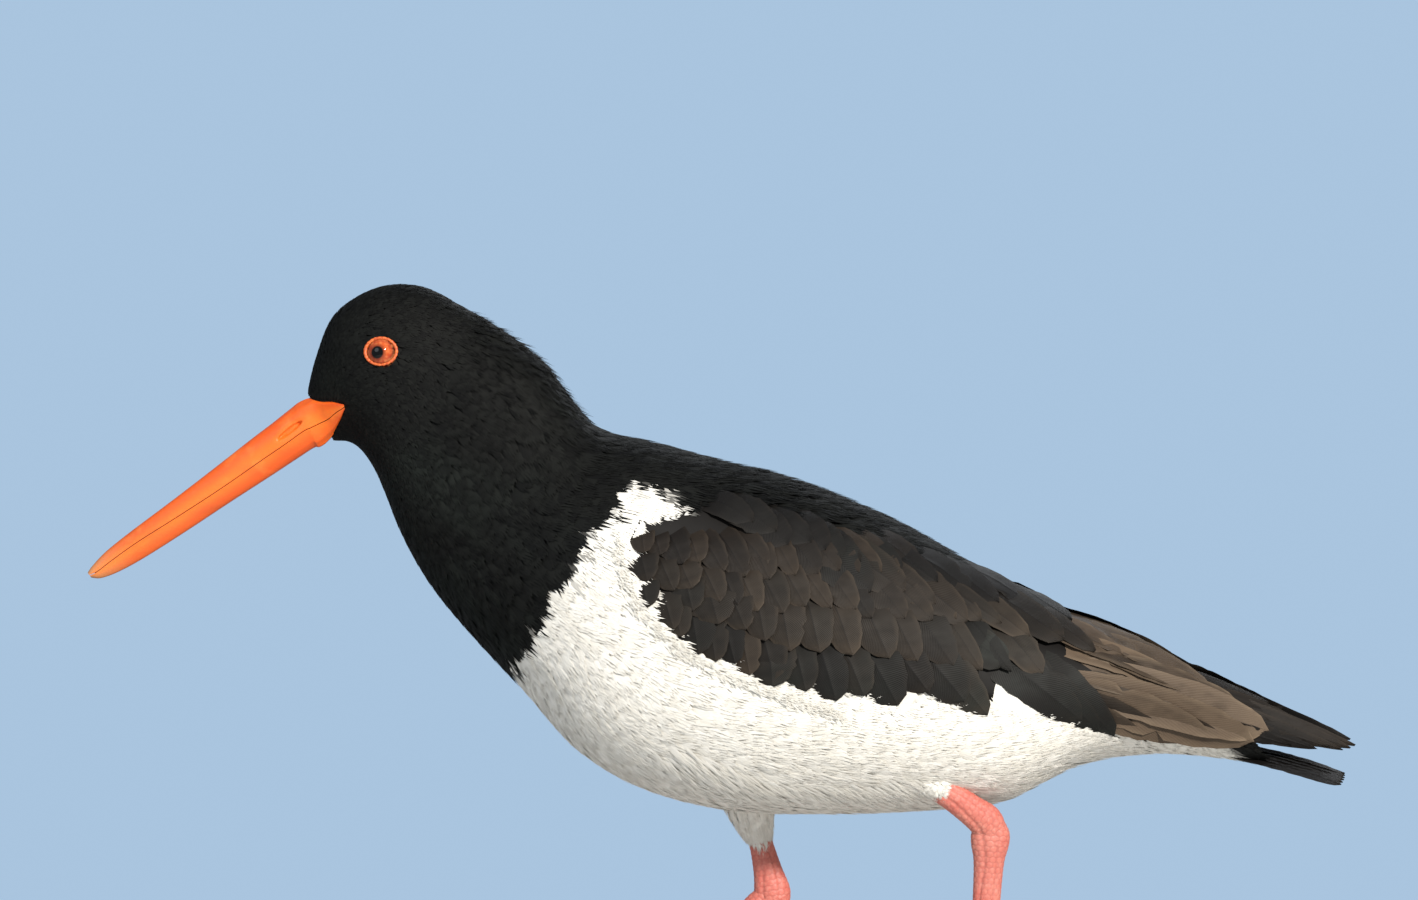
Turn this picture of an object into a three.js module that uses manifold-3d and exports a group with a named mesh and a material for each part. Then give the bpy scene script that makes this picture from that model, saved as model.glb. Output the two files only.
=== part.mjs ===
// A pied oystercatcher walking with its head lowered, life size, in millimetres.
// +Z is up, the bird faces -X, and its left side is towards -Y. The floor is Z = 0.
import * as THREE from "three";
import { mergeVertices } from "three/addons/utils/BufferGeometryUtils.js";
import Module from "manifold-3d";

const wasm = await Module();
wasm.setup();

// Driving dimensions
const GAP = 0.32; // clearance between nodes that touch
const AROUND = 26; // facets round the body
const VANE_THICKNESS = 0.5;
const VANE_ROLL = 0.7; // how far a vane's lower edge stands up and its upper edge dips
const VANE_RIDGE = 0.15; // along the shaft
const ROOT_SUNK = -3.4;
const LEFT = -1;
const RIGHT = 1;

// Cross-sections of the plumage from the bill's root to the wing tips. Each lies in the plane
// through its top and bottom points (x, z), and is as wide as two halves across.
// wing is how far the body lies under the folded wing there.
const SECTIONS = [
  { at: "bill root", top: [-124.3, 184.8], bottom: [-116.5, 170.7], half: 5.6, wing: 0 },
  { at: "forehead", top: [-121.9, 195.0], bottom: [-112.6, 170.7], half: 9.0, wing: 0 },
  { at: "brow", top: [-117.1, 207.3], bottom: [-109.3, 169.2], half: 12.6, wing: 0 },
  { at: "lore", top: [-109.6, 213.9], bottom: [-106.3, 165.9], half: 15.0, wing: 0 },
  { at: "eye", top: [-100.0, 217.5], bottom: [-103.3, 160.8], half: 16.6, wing: 0 },
  { at: "crown", top: [-89.2, 216.9], bottom: [-100.3, 153.6], half: 17.6, wing: 0 },
  { at: "hind crown", top: [-77.8, 211.2], bottom: [-97.3, 145.8], half: 18.6, wing: 0 },
  { at: "nape", top: [-65.2, 203.7], bottom: [-93.1, 137.1], half: 20.9, wing: 0 },
  { at: "mid neck", top: [-53.2, 194.4], bottom: [-87.1, 127.2], half: 23.5, wing: 0 },
  { at: "low neck", top: [-44.2, 182.4], bottom: [-79.0, 117.0], half: 27.2, wing: 0 },
  { at: "shoulder", top: [-35.2, 174.0], bottom: [-68.8, 105.6], half: 32.4, wing: 0 },
  { at: "wrist", top: [-20.8, 170.7], bottom: [-57.4, 93.6], half: 38.1, wing: 2.2 },
  { at: "breast", top: [-2.9, 165.9], bottom: [-43.4, 78.0], half: 42.3, wing: 3.4 },
  { at: "fore belly", top: [16.6, 161.5], bottom: [-24.1, 66.6], half: 44.9, wing: 3.9 },
  { at: "mid belly", top: [36.1, 154.7], bottom: [1.3, 60.0], half: 46, wing: 4.1 },
  { at: "back", top: [55.6, 145.7], bottom: [30.1, 58.8], half: 44.9, wing: 4.2 },
  { at: "hind belly", top: [75.1, 134.6], bottom: [58.6, 59.7], half: 41.8, wing: 4.3 },
  { at: "vent", top: [94.3, 124.4], bottom: [84.1, 62.4], half: 36.6, wing: 4.4 },
  { at: "rump", top: [112.3, 116.3], bottom: [107.0, 73.2], half: 30.3, wing: 4.4 },
  { at: "tail coverts", top: [130.3, 108.5], bottom: [128.5, 76.8], half: 24.6, wing: 4.4 },
  { at: "tertials", top: [148.3, 100.1], bottom: [149.5, 75.6], half: 18.5, wing: 4.4 },
  { at: "primaries", top: [166.3, 93.5], bottom: [168.2, 72.0], half: 13.5, wing: 4.2 },
  { at: "wing tips", top: [183.2, 86.6], bottom: [184.0, 67.2], half: 9.5, wing: 4 },
  { at: "past the tips", top: [200.0, 79.0], bottom: [200.0, 60.0], half: 6.5, wing: 3 },
];
const ROUNDNESS = 2.15; // 2 is an ellipse
const NECK_STARTS = 5.6; // places along the sections, as numbers in that list
const NECK_ENDS = 10.2;
const BODY_ENDS = 20.4;
const CUT = 0.022; // half of a thin cut, as a share of the step between two sections

// The folded wing's lower edge, seen from the side (x, z)
const WING_EDGE = [
  [-28.0, 139.5],
  [-18.0, 119.5],
  [-6.0, 111.0],
  [9.0, 105.5],
  [24.0, 100.5],
  [42.0, 99.0],
  [62.0, 96.0],
  [84.0, 93.0],
  [102.0, 88.5],
  [117.0, 84.5],
  [138.0, 83.0],
  [156.0, 80.5],
];
const WING_TOP_DEG = 74;
const WING_ROOF_DEG = 87; // over the rump, where the two wings meet
const WING_CORE_ENDS = 20.2;
const WING_CORE_SUNK = 2.1; // how far the core lies under the feathers
const WING_APART = 0.4; // half of the gap between the wings over the rump
const WING_CORE_REACH = 2; // how far the core reaches into the body before it is cut
const VARIATION = 0.06; // between one feather's size and the next

// Feathers of the folded wing, in tiers from the first feather to the last. Roots and tips are
// seen from the side (x, z), and height is how far a tier lies off the plumage's surface.
const WING_TIERS = [
  {
    name: "primaries",
    count: 5,
    roots: [[140.6, 87.0], [128.6, 101.0]],
    tips: [[169.0, 80.6], [180.0, 78.6], [187.0, 78.4], [190.6, 80.2]],
    half: 4.2,
    height: -0.7,
  },
  {
    name: "tertials",
    count: 5,
    roots: [[84.0, 106.0], [72.0, 127.0]],
    tips: [[142.0, 82.4], [157.0, 80.8], [163.0, 86.4], [148.0, 94.8], [128.6, 104.0]],
    half: 8.4,
    height: -0.1,
  },
  {
    name: "greater coverts",
    count: 7,
    roots: [[14.6, 121.0], [82.0, 120.0]],
    tips: [[29.0, 94.0], [51.0, 91.6], [76.0, 89.6], [95.6, 88.0], [115.0, 83.2]],
    half: 7.4,
    height: 0.3,
  },
  {
    name: "front coverts",
    count: 4,
    roots: [[-24.0, 138.0], [-14.0, 131.0], [-3.0, 127.0], [9.0, 121.0]],
    tips: [[-20.0, 120.4], [-9.5, 110.0], [2.6, 104.6], [16.0, 99.5]],
    half: 6.2,
    height: 0.1,
  },
  {
    name: "median coverts",
    count: 6,
    roots: [[-15.5, 146.0], [62.6, 136.0]],
    tips: [[-9.0, 119.0], [24.0, 109.5], [60.0, 109.0], [92.0, 107.0]],
    half: 8.0,
    height: 0.5,
  },
  {
    name: "scapulars",
    count: 5,
    roots: [[-10.0, 159.0], [52.0, 144.0]],
    tips: [[14.0, 137.0], [52.0, 126.0], [92.0, 116.0]],
    half: 8.6,
    height: 0.8,
  },
];

const lerp = THREE.MathUtils.lerp;
const radians = THREE.MathUtils.degToRad;
const smooth = (x, from, to) => THREE.MathUtils.smoothstep(x, from, to);

// Plumage surface

// A value of the sections at any place s between them, on a smooth curve
function between(s, read) {
  const last = SECTIONS.length - 1;
  const i = Math.min(last - 1, Math.max(0, Math.floor(s)));
  const at = (k) => read(SECTIONS[Math.min(last, Math.max(0, k))]);
  const t = s - i;
  const [a, b, c, d] = [at(i - 1), at(i), at(i + 1), at(i + 2)];
  return b + 0.5 * t * (c - a + t * (2 * a - 5 * b + 4 * c - d + t * (3 * (b - c) + d - a)));
}

function sectionAt(s) {
  return {
    top: [between(s, (k) => k.top[0]), between(s, (k) => k.top[1])],
    bottom: [between(s, (k) => k.bottom[0]), between(s, (k) => k.bottom[1])],
    half: between(s, (k) => k.half),
    wing: between(s, (k) => k.wing),
  };
}

// A point of the plumage: angle is 0 at the right side, a quarter turn at the top
function plumage(s, angle) {
  const { top, bottom, half } = sectionAt(s);
  const power = 2 / ROUNDNESS;
  const up = 0.5 + 0.5 * Math.sign(Math.sin(angle)) * Math.abs(Math.sin(angle)) ** power;
  const out = Math.sign(Math.cos(angle)) * Math.abs(Math.cos(angle)) ** power;
  return new THREE.Vector3(lerp(bottom[0], top[0], up), half * out, lerp(bottom[1], top[1], up));
}

// The point with the surface's two slopes and its outward normal
function plumageFrame(s, angle) {
  const step = 0.01;
  const along = plumage(s + step, angle).sub(plumage(s - step, angle)).divideScalar(2 * step);
  const round = plumage(s, angle + step).sub(plumage(s, angle - step)).divideScalar(2 * step);
  const normal = new THREE.Vector3().crossVectors(along, round).normalize();
  return { point: plumage(s, angle), along, round, normal: normal.negate() };
}

// The place (s, angle) on the right side that is seen at (x, z) from the side
function locate(x, z) {
  let [low, high] = [0, SECTIONS.length - 1];
  while (high - low > 1e-4) {
    const mid = (low + high) / 2;
    const { top, bottom } = sectionAt(mid);
    const beyond =
      (x - bottom[0]) * (top[1] - bottom[1]) - (z - bottom[1]) * (top[0] - bottom[0]) > 0;
    if (beyond) low = mid;
    else high = mid;
  }
  const { top, bottom } = sectionAt(low);
  const tall = Math.hypot(top[0] - bottom[0], top[1] - bottom[1]);
  const up = Math.hypot(x - bottom[0], z - bottom[1]) / tall;
  const sine = THREE.MathUtils.clamp(2 * up - 1, -1, 1);
  return [low, Math.asin(Math.sign(sine) * Math.abs(sine) ** (ROUNDNESS / 2))];
}

const wingEdge = WING_EDGE.map(([x, z]) => locate(x, z));

// The angle of the folded wing's lower edge at place s
function wingEdgeAngle(s) {
  const after = wingEdge.findIndex(([place]) => place > s);
  if (after === 0) return wingEdge[0][1];
  if (after < 0) return wingEdge.at(-1)[1];
  const [a, b] = [wingEdge[after - 1], wingEdge[after]];
  return lerp(a[1], b[1], (s - a[0]) / (b[0] - a[0]));
}

const wingStart = wingEdge[0][0];

// The body under the folded wing, which fills the difference
function bodyPoint(s, angle) {
  const { point, normal } = plumageFrame(s, angle);
  const side = angle > Math.PI / 2 || angle < -Math.PI / 2 ? Math.PI - angle : angle;
  const edge = wingEdgeAngle(s);
  const under = smooth(side, edge - 0.3, edge + 0.1) * smooth(s, wingStart - 0.2, wingStart + 0.8);
  return point.addScaledVector(normal, -sectionAt(s).wing * under);
}

// Solids

// A closed surface through rings of points, with a flat cap at each end
function loft(rings) {
  const round = rings[0].length;
  const points = rings.flat().concat([rings[0], rings.at(-1)].map(centreOf));
  const faces = [];
  for (let i = 0; i < rings.length - 1; i++)
    for (let j = 0; j < round; j++) {
      const [a, b] = [i * round + j, i * round + ((j + 1) % round)];
      faces.push(a, b, b + round, a, b + round, a + round);
    }
  const lastRing = (rings.length - 1) * round;
  for (let j = 0; j < round; j++) {
    const next = (j + 1) % round;
    faces.push(next, j, rings.length * round);
    faces.push(lastRing + j, lastRing + next, rings.length * round + 1);
  }
  return indexed(points, faces);
}

function centreOf(ring) {
  const sum = new THREE.Vector3();
  ring.forEach((p) => sum.add(p));
  return sum.divideScalar(ring.length);
}

// How wide a vane is at each share of its length, as a share of its greatest width
const VANE_PROFILE = [
  [0, 0.6],
  [0.42, 0.95],
  [0.84, 0.95],
  [1, 0.34],
];

// A thin closed plate: each row is a list of points with normals, and both faces are
// split into triangles alike
function plate(rows, thickness) {
  const wide = rows[0].length;
  const upper = rows.flat().map(({ point }) => point);
  const lower = rows.flat().map(({ point, normal }) =>
    point.clone().addScaledVector(normal, -thickness),
  );
  const under = upper.length;
  const faces = [];
  const quad = (a, b, c, d) => faces.push(a, b, c, a, c, d);
  for (let i = 0; i < rows.length - 1; i++) {
    for (let j = 0; j < wide - 1; j++) {
      const a = i * wide + j;
      quad(a, a + wide, a + wide + 1, a + 1);
      faces.push(under + a, under + a + wide + 1, under + a + wide);
      faces.push(under + a, under + a + 1, under + a + wide + 1);
    }
    const [left, right] = [i * wide, i * wide + wide - 1];
    quad(left, under + left, under + left + wide, left + wide);
    quad(right, right + wide, under + right + wide, under + right);
  }
  const lastRow = (rows.length - 1) * wide;
  for (let j = 0; j < wide - 1; j++) {
    quad(j, j + 1, under + j + 1, under + j);
    const a = lastRow + j;
    quad(a, under + a, under + a + 1, a + 1);
  }
  return indexed([...upper, ...lower], faces);
}

function indexed(points, faces) {
  const flat = new Float32Array(points.flatMap((p) => [p.x, p.y, p.z]));
  return new THREE.BufferGeometry()
    .setAttribute("position", new THREE.BufferAttribute(flat, 3))
    .setIndex(faces);
}

// The geometry as a solid, turned right side out, and moved out by grow along its normals
function solid(geometry, grow = 0) {
  const bare = geometry.clone();
  bare.deleteAttribute("normal");
  bare.deleteAttribute("uv");
  const merged = mergeVertices(bare, 1e-4);
  const index = [...merged.index.array];
  const position = merged.attributes.position;
  let volume = 0;
  const corner = (k) => new THREE.Vector3().fromBufferAttribute(position, index[k]);
  for (let k = 0; k < index.length; k += 3)
    volume += corner(k).dot(corner(k + 1).cross(corner(k + 2)));
  if (volume < 0)
    for (let k = 0; k < index.length; k += 3)
      [index[k + 1], index[k + 2]] = [index[k + 2], index[k + 1]];
  merged.setIndex(index);
  if (grow) {
    merged.computeVertexNormals();
    const normal = merged.attributes.normal;
    for (let i = 0; i < position.count; i++) {
      const p = new THREE.Vector3().fromBufferAttribute(position, i);
      p.addScaledVector(new THREE.Vector3().fromBufferAttribute(normal, i), grow);
      position.setXYZ(i, p.x, p.y, p.z);
    }
  }
  return new wasm.Manifold(
    new wasm.Mesh({
      numProp: 3,
      vertProperties: new Float32Array(position.array),
      triVerts: new Uint32Array(index),
    }),
  );
}

// The space a neighbour leaves free round a node
const roomFor = (geometry, gap = GAP) => union([solid(geometry), solid(geometry, gap)]);
const union = (solids) => solids.reduce((a, b) => a.add(b));
const cut = (whole, ...tools) => tools.reduce((a, b) => a.subtract(b), whole);

function largest(whole) {
  return whole.decompose().reduce((a, b) => (b.volume() > a.volume() ? b : a));
}

const bird = new THREE.Group();
const looks = {};

function look(name, color, roughness) {
  looks[name] = new THREE.MeshStandardMaterial({ color, roughness, metalness: 0 });
}

function addNode(name, whole, lookName) {
  const { numProp, numVert, vertProperties, triVerts } = largest(whole).getMesh();
  const points = new Float32Array(numVert * 3);
  for (let i = 0; i < numVert; i++)
    points.set(vertProperties.subarray(i * numProp, i * numProp + 3), i * 3);
  const geometry = new THREE.BufferGeometry()
    .setAttribute("position", new THREE.BufferAttribute(points, 3))
    .setIndex(new THREE.BufferAttribute(triVerts, 1));
  const mesh = new THREE.Mesh(geometry, looks[lookName]);
  mesh.name = name;
  bird.add(mesh);
}

look("black plumage", 0x16161a, 0.75);
look("brown flight feathers", 0x3a3029, 0.7);
look("white plumage", 0xe9e6df, 0.85);
look("orange bill", 0xe8641c, 0.4);
look("orange eye", 0xb8481a, 0.15);
look("pink leg", 0xd98273, 0.55);
look("dark claw", 0x2c2624, 0.4);

// Head, neck and torso

function bodyLoft(from, to, steps) {
  const rings = [];
  for (let i = 0; i <= steps; i++) {
    const s = lerp(from, to, i / steps);
    const ring = [];
    for (let j = 0; j < AROUND; j++) ring.push(bodyPoint(s, (j / AROUND) * 2 * Math.PI - Math.PI / 2));
    rings.push(ring);
  }
  return loft(rings);
}

const BODY_STEPS = { head: 13, neck: 8, torso: 20 };
const headLoft = bodyLoft(0, NECK_STARTS - CUT, BODY_STEPS.head);
const neckLoft = bodyLoft(NECK_STARTS + CUT, NECK_ENDS - CUT, BODY_STEPS.neck);
const torsoLoft = bodyLoft(NECK_ENDS + CUT, BODY_ENDS, BODY_STEPS.torso);
const torsoRoom = roomFor(torsoLoft);

// Bill, slit along the mouth, whose corner runs back over the cheek

const BILL = [
  { top: [-121.0, 187.0], bottom: [-114.0, 175.0], half: 5.0 },
  { top: [-129.4, 180.3], bottom: [-122.4, 168.6], half: 4.9 },
  { top: [-141.4, 171.0], bottom: [-134.6, 160.6], half: 4.1 },
  { top: [-153.4, 161.6], bottom: [-147.6, 152.2], half: 3.4 },
  { top: [-165.4, 152.4], bottom: [-160.0, 144.0], half: 2.9 },
  { top: [-177.4, 143.4], bottom: [-172.6, 136.0], half: 2.4 },
  { top: [-184.6, 137.6], bottom: [-180.6, 131.6], half: 2.0 },
  { top: [-188.6, 133.4], bottom: [-186.0, 129.6], half: 1.5 },
  { top: [-190.2, 131.2], bottom: [-189.0, 129.6], half: 0.8 },
];
const MOUTH = [
  [-106.0, 185.6],
  [-114.0, 180.6],
  [-125.4, 173.4],
  [-137.5, 165.1],
  [-150.3, 156.2],
  [-162.8, 148.3],
  [-175.6, 140.6],
  [-183.0, 134.8],
  [-194.0, 125.6],
];
const MOUTH_GAP = 0.32;
const MOUTH_NORMAL = new THREE.Vector3(0.55, 0, -0.83).normalize(); // square to the mouth line
const MOUTH_REACH = 14; // wider than the cheeks on either side
const BILL_SQUARENESS = 0.8; // 1 is an ellipse
const CHEEK_CORNER = [
  [-125.5, 183.2],
  [-119.0, 182.6],
  [-114.6, 182.3],
  [-112.6, 181.1],
  [-113.6, 178.2],
  [-116.6, 172.2],
  [-120.6, 169.8],
  [-125.4, 171.0],
  [-128.0, 177.0],
];
const CHEEK_PROUD = 0.3; // how far the bare corner stands out of the feathers

function billLoft() {
  const round = 14;
  const rings = BILL.map(({ top, bottom, half }) => {
    const ring = [];
    for (let j = 0; j < round; j++) {
      const angle = (j / round) * 2 * Math.PI;
      const up = 0.5 + 0.5 * Math.sin(angle);
      const out = half * Math.sign(Math.cos(angle)) * Math.abs(Math.cos(angle)) ** BILL_SQUARENESS;
      ring.push(new THREE.Vector3(lerp(bottom[0], top[0], up), out, lerp(bottom[1], top[1], up)));
    }
    return ring;
  });
  return loft(rings);
}

// The bare corner of the mouth, right through the head from cheek to cheek
function cheekCorner() {
  const side = (way) =>
    CHEEK_CORNER.map(([x, z]) => {
      const out = plumage(...locate(x, z)).y + CHEEK_PROUD;
      return new THREE.Vector3(x, way * Math.max(BILL[1].half, out), z);
    });
  return loft([side(LEFT), side(RIGHT)]);
}

function mouthSlit() {
  const rows = MOUTH.map(([x, z]) =>
    [-MOUTH_REACH, 0, MOUTH_REACH].map((y) => ({
      point: new THREE.Vector3(x, y, z).addScaledVector(MOUTH_NORMAL, -MOUTH_GAP / 2),
      normal: MOUTH_NORMAL.clone().negate(),
    })),
  );
  return solid(plate(rows, MOUTH_GAP));
}

const NOSTRIL = { centre: [-129.3, 173.9], out: 4.6, long: 4.6, tall: 0.75, deep: 1.4, slopeDeg: 37 };

function nostril(side) {
  const slot = new THREE.SphereGeometry(1, 10, 6);
  slot.scale(NOSTRIL.long, NOSTRIL.deep, NOSTRIL.tall);
  slot.rotateY(-radians(NOSTRIL.slopeDeg));
  slot.translate(NOSTRIL.centre[0], side * NOSTRIL.out, NOSTRIL.centre[1]);
  return solid(slot);
}

const headRoom = roomFor(headLoft);
const bill = union([cut(solid(billLoft()), headRoom), solid(cheekCorner())]);
const [lowerBill, upperBill] = cut(bill, mouthSlit())
  .decompose()
  .sort((a, b) => b.volume() - a.volume())
  .slice(0, 2)
  .sort((a, b) => a.boundingBox().max[2] - b.boundingBox().max[2]);
addNode("bill_upper", cut(upperBill, nostril(LEFT), nostril(RIGHT)), "orange bill");
addNode("bill_lower", lowerBill, "orange bill");

// Eyes, each in a ring of bare lid

const EYE = { seen: [-101.7, 197.4], radius: 5.6, sunk: 3.9 };
const LID = { radius: 4.6, thick: 0.8, tall: 0.88, sunk: -0.1 };
const EYE_GAP = 0.37;

function eyeParts(side, grow) {
  const [s, angle] = locate(...EYE.seen);
  const { point, normal } = plumageFrame(s, angle);
  point.y *= side;
  normal.y *= side;
  const turn = new THREE.Quaternion().setFromUnitVectors(new THREE.Vector3(0, 0, 1), normal);
  const place = (geometry, depth) => {
    geometry.applyQuaternion(turn);
    const at = point.clone().addScaledVector(normal, -depth);
    return solid(geometry.translate(at.x, at.y, at.z), grow);
  };
  const lid = new THREE.TorusGeometry(LID.radius, LID.thick, 5, 18);
  lid.scale(side, 1, 1).rotateZ(side * Math.PI).scale(1, LID.tall, 1);
  return {
    eye: place(new THREE.SphereGeometry(EYE.radius, 16, 9), EYE.sunk),
    lid: place(lid, LID.sunk),
  };
}

let head = cut(solid(headLoft), roomFor(cheekCorner()));
for (const side of [LEFT, RIGHT]) {
  const name = side === LEFT ? "left" : "right";
  const { eye, lid } = eyeParts(side, 0);
  const room = eyeParts(side, EYE_GAP);
  head = cut(head, room.eye);
  addNode(`eye_${name}`, eye, "orange eye");
  addNode(`eyelid_${name}`, cut(lid, room.eye, headRoom), "orange bill");
}
addNode("head", head, "black plumage");
addNode("neck", solid(neckLoft), "black plumage");

// Tail: a core with overlapping feathers spread a little each way

const TAIL = {
  core: [
    { x: 150.0, top: 93.0, bottom: 76.2, half: 12.0 },
    { x: 157.0, top: 87.5, bottom: 75.4, half: 11.5 },
    { x: 166.0, top: 79.6, bottom: 72.8, half: 11.0 },
    { x: 172.0, top: 76.6, bottom: 71.6, half: 10.0 },
  ],
  pairs: 6,
  layer: 0.9, // each pair lies this far under the one before
  root: { x: 163.0, z: 78.4, spread: 7.0 },
  tip: { x: 186.9, z: 71.6, spread: 12.6 },
  width: 8.0,
  rounded: 1.8, // how much shorter the outermost pair is
  ridge: 0.12,
};

// One tail feather: side is -1 or 1, and pair counts from the middle outwards
function tailVane(side, pair) {
  const { root, tip, width, pairs, layer, rounded, ridge } = TAIL;
  const share = (side * (pair + 0.5)) / (pairs - 0.5);
  const under = layer * (pair + (side > 0 ? 0.5 : 0));
  const from = new THREE.Vector3(root.x, share * root.spread, root.z - under);
  const to = new THREE.Vector3(tip.x - rounded * share * share, share * tip.spread, tip.z - under);
  const forward = to.clone().sub(from).normalize();
  const across = new THREE.Vector3(0, 1, 0);
  const normal = new THREE.Vector3().crossVectors(forward, across).normalize();
  const rows = VANE_PROFILE.map(([t, wide]) =>
    [-1, 0, 1].map((w) => ({
      point: from
        .clone()
        .lerp(to, t)
        .addScaledVector(across, w * wide * width * 0.5)
        .addScaledVector(normal, w === 0 ? ridge : 0),
      normal,
    })),
  );
  return plate(rows, VANE_THICKNESS);
}

function ovalRing(x, top, bottom, half, round) {
  const ring = [];
  for (let j = 0; j < round; j++) {
    const angle = (j / round) * 2 * Math.PI;
    const z = lerp(bottom, top, 0.5 + 0.5 * Math.sin(angle));
    ring.push(new THREE.Vector3(x, half * Math.cos(angle), z));
  }
  return ring;
}

const tailCore = loft(TAIL.core.map(({ x, top, bottom, half }) => ovalRing(x, top, bottom, half, 16)));
const tailVanes = [];
for (let pair = 0; pair < TAIL.pairs; pair++)
  for (const side of [LEFT, RIGHT]) tailVanes.push(tailVane(side, pair));
const tail = cut(union([tailCore, ...tailVanes].map((piece) => solid(piece))), torsoRoom);
const tailRoom = union([tailCore, ...tailVanes].map((piece) => roomFor(piece)));
addNode("tail", tail, "black plumage");

// Wings: a core that fills the body's hollow, and tiers of overlapping vanes fused to it

function wingCore(side) {
  const rings = [];
  const steps = 14;
  const across = 5;
  for (let i = 0; i <= steps; i++) {
    const s = lerp(wingStart, WING_CORE_ENDS, i / steps);
    const opened = smooth(s, wingStart - 0.3, wingStart + 1.6);
    const roof = lerp(WING_TOP_DEG, WING_ROOF_DEG, smooth(s, 15, 17.5));
    const low = wingEdgeAngle(s);
    const high = lerp(low + 0.15, radians(roof), opened);
    const outer = [];
    const inner = [];
    for (let j = 0; j <= across; j++) {
      const { point, normal } = plumageFrame(s, lerp(low, high, j / across));
      const outside = point.clone().addScaledVector(normal, -WING_CORE_SUNK * opened);
      const inside = point.clone().addScaledVector(normal, -(sectionAt(s).wing + WING_CORE_REACH));
      for (const p of [outside, inside]) p.y = side * Math.max(p.y, WING_APART);
      outer.push(outside);
      inner.unshift(inside);
    }
    rings.push([...outer, ...inner]);
  }
  return loft(rings);
}

// The value of a list of points at a share of its length
function alongList(points, share) {
  const place = share * (points.length - 1);
  const i = Math.min(points.length - 2, Math.floor(place));
  return points[i].map((v, k) => lerp(v, points[i + 1][k], place - i));
}

// A feather that lies on the plumage from root to tip, as seen from the side (x, z)
function wingVane(root, tip, half, height) {
  const seen = (t) => locate(lerp(root[0], tip[0], t), lerp(root[1], tip[1], t));
  const step = 0.04;
  const rows = VANE_PROFILE.map(([t, wide]) => {
    const [s, angle] = seen(t);
    const { along, round, normal } = plumageFrame(s, angle);
    const ahead = plumage(...seen(t + step)).sub(plumage(...seen(t - step)));
    const across = new THREE.Vector3().crossVectors(ahead, normal).normalize();
    const [aa, ar, rr] = [along.dot(along), along.dot(round), round.dot(round)];
    const [ca, cr] = [across.dot(along), across.dot(round)];
    const scale = 1 / (aa * rr - ar * ar);
    const lift = lerp(ROOT_SUNK, height, smooth(t, 0.05, 0.75));
    return [-1, 0, 1].map((w) => {
      const reach = w * wide * half * scale;
      const at = plumageFrame(
        s + reach * (ca * rr - cr * ar),
        Math.min(Math.PI / 2, angle + reach * (cr * aa - ca * ar)),
      );
      at.point.addScaledVector(at.normal, lift + w * VANE_ROLL + (w === 0 ? VANE_RIDGE : 0));
      at.point.y = Math.max(at.point.y, WING_APART + VANE_THICKNESS);
      return at;
    });
  });
  return plate(rows, VANE_THICKNESS);
}

// Small differences between feathers, the same in every run
function seededRandom(seed) {
  let state = seed;
  return () => {
    state = (state * 1664525 + 1013904223) % 4294967296;
    return state / 4294967296;
  };
}

function wing(side) {
  const random = seededRandom(7);
  const pieces = [wingCore(side)];
  for (const { count, roots, tips, half, height } of WING_TIERS)
    for (let i = 0; i < count; i++) {
      const share = i / (count - 1);
      const root = alongList(roots, share);
      const tip = alongList(tips, share);
      const longer = 1 + VARIATION * (random() - 0.5);
      const end = tip.map((v, k) => lerp(root[k], v, longer));
      const vane = wingVane(root, end, half * (1 + VARIATION * (random() - 0.5)), height);
      pieces.push(vane.scale(1, side, 1));
    }
  return union(pieces.map((piece) => solid(piece)));
}

for (const side of [LEFT, RIGHT]) {
  const name = side === LEFT ? "left" : "right";
  addNode(`wing_${name}`, cut(wing(side), torsoRoom, tailRoom), "brown flight feathers");
}

// Legs

// A limb through points with radii, oval across: deep is front to back, wide is side to side
function limb(stations, round = 12) {
  const centres = stations.map(({ at }) => new THREE.Vector3(...at));
  const rings = stations.map(({ deep, wide }, i) => {
    const before = centres[Math.max(0, i - 1)];
    const after = centres[Math.min(centres.length - 1, i + 1)];
    const forward = after.clone().sub(before).normalize();
    const sideways = new THREE.Vector3(0, 1, 0).addScaledVector(forward, -forward.y).normalize();
    const front = new THREE.Vector3().crossVectors(forward, sideways);
    const ring = [];
    for (let j = 0; j < round; j++) {
      const angle = (j / round) * 2 * Math.PI;
      ring.push(
        centres[i]
          .clone()
          .addScaledVector(sideways, wide * Math.cos(angle))
          .addScaledVector(front, deep * Math.sin(angle)),
      );
    }
    return ring;
  });
  return loft(rings);
}

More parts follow.
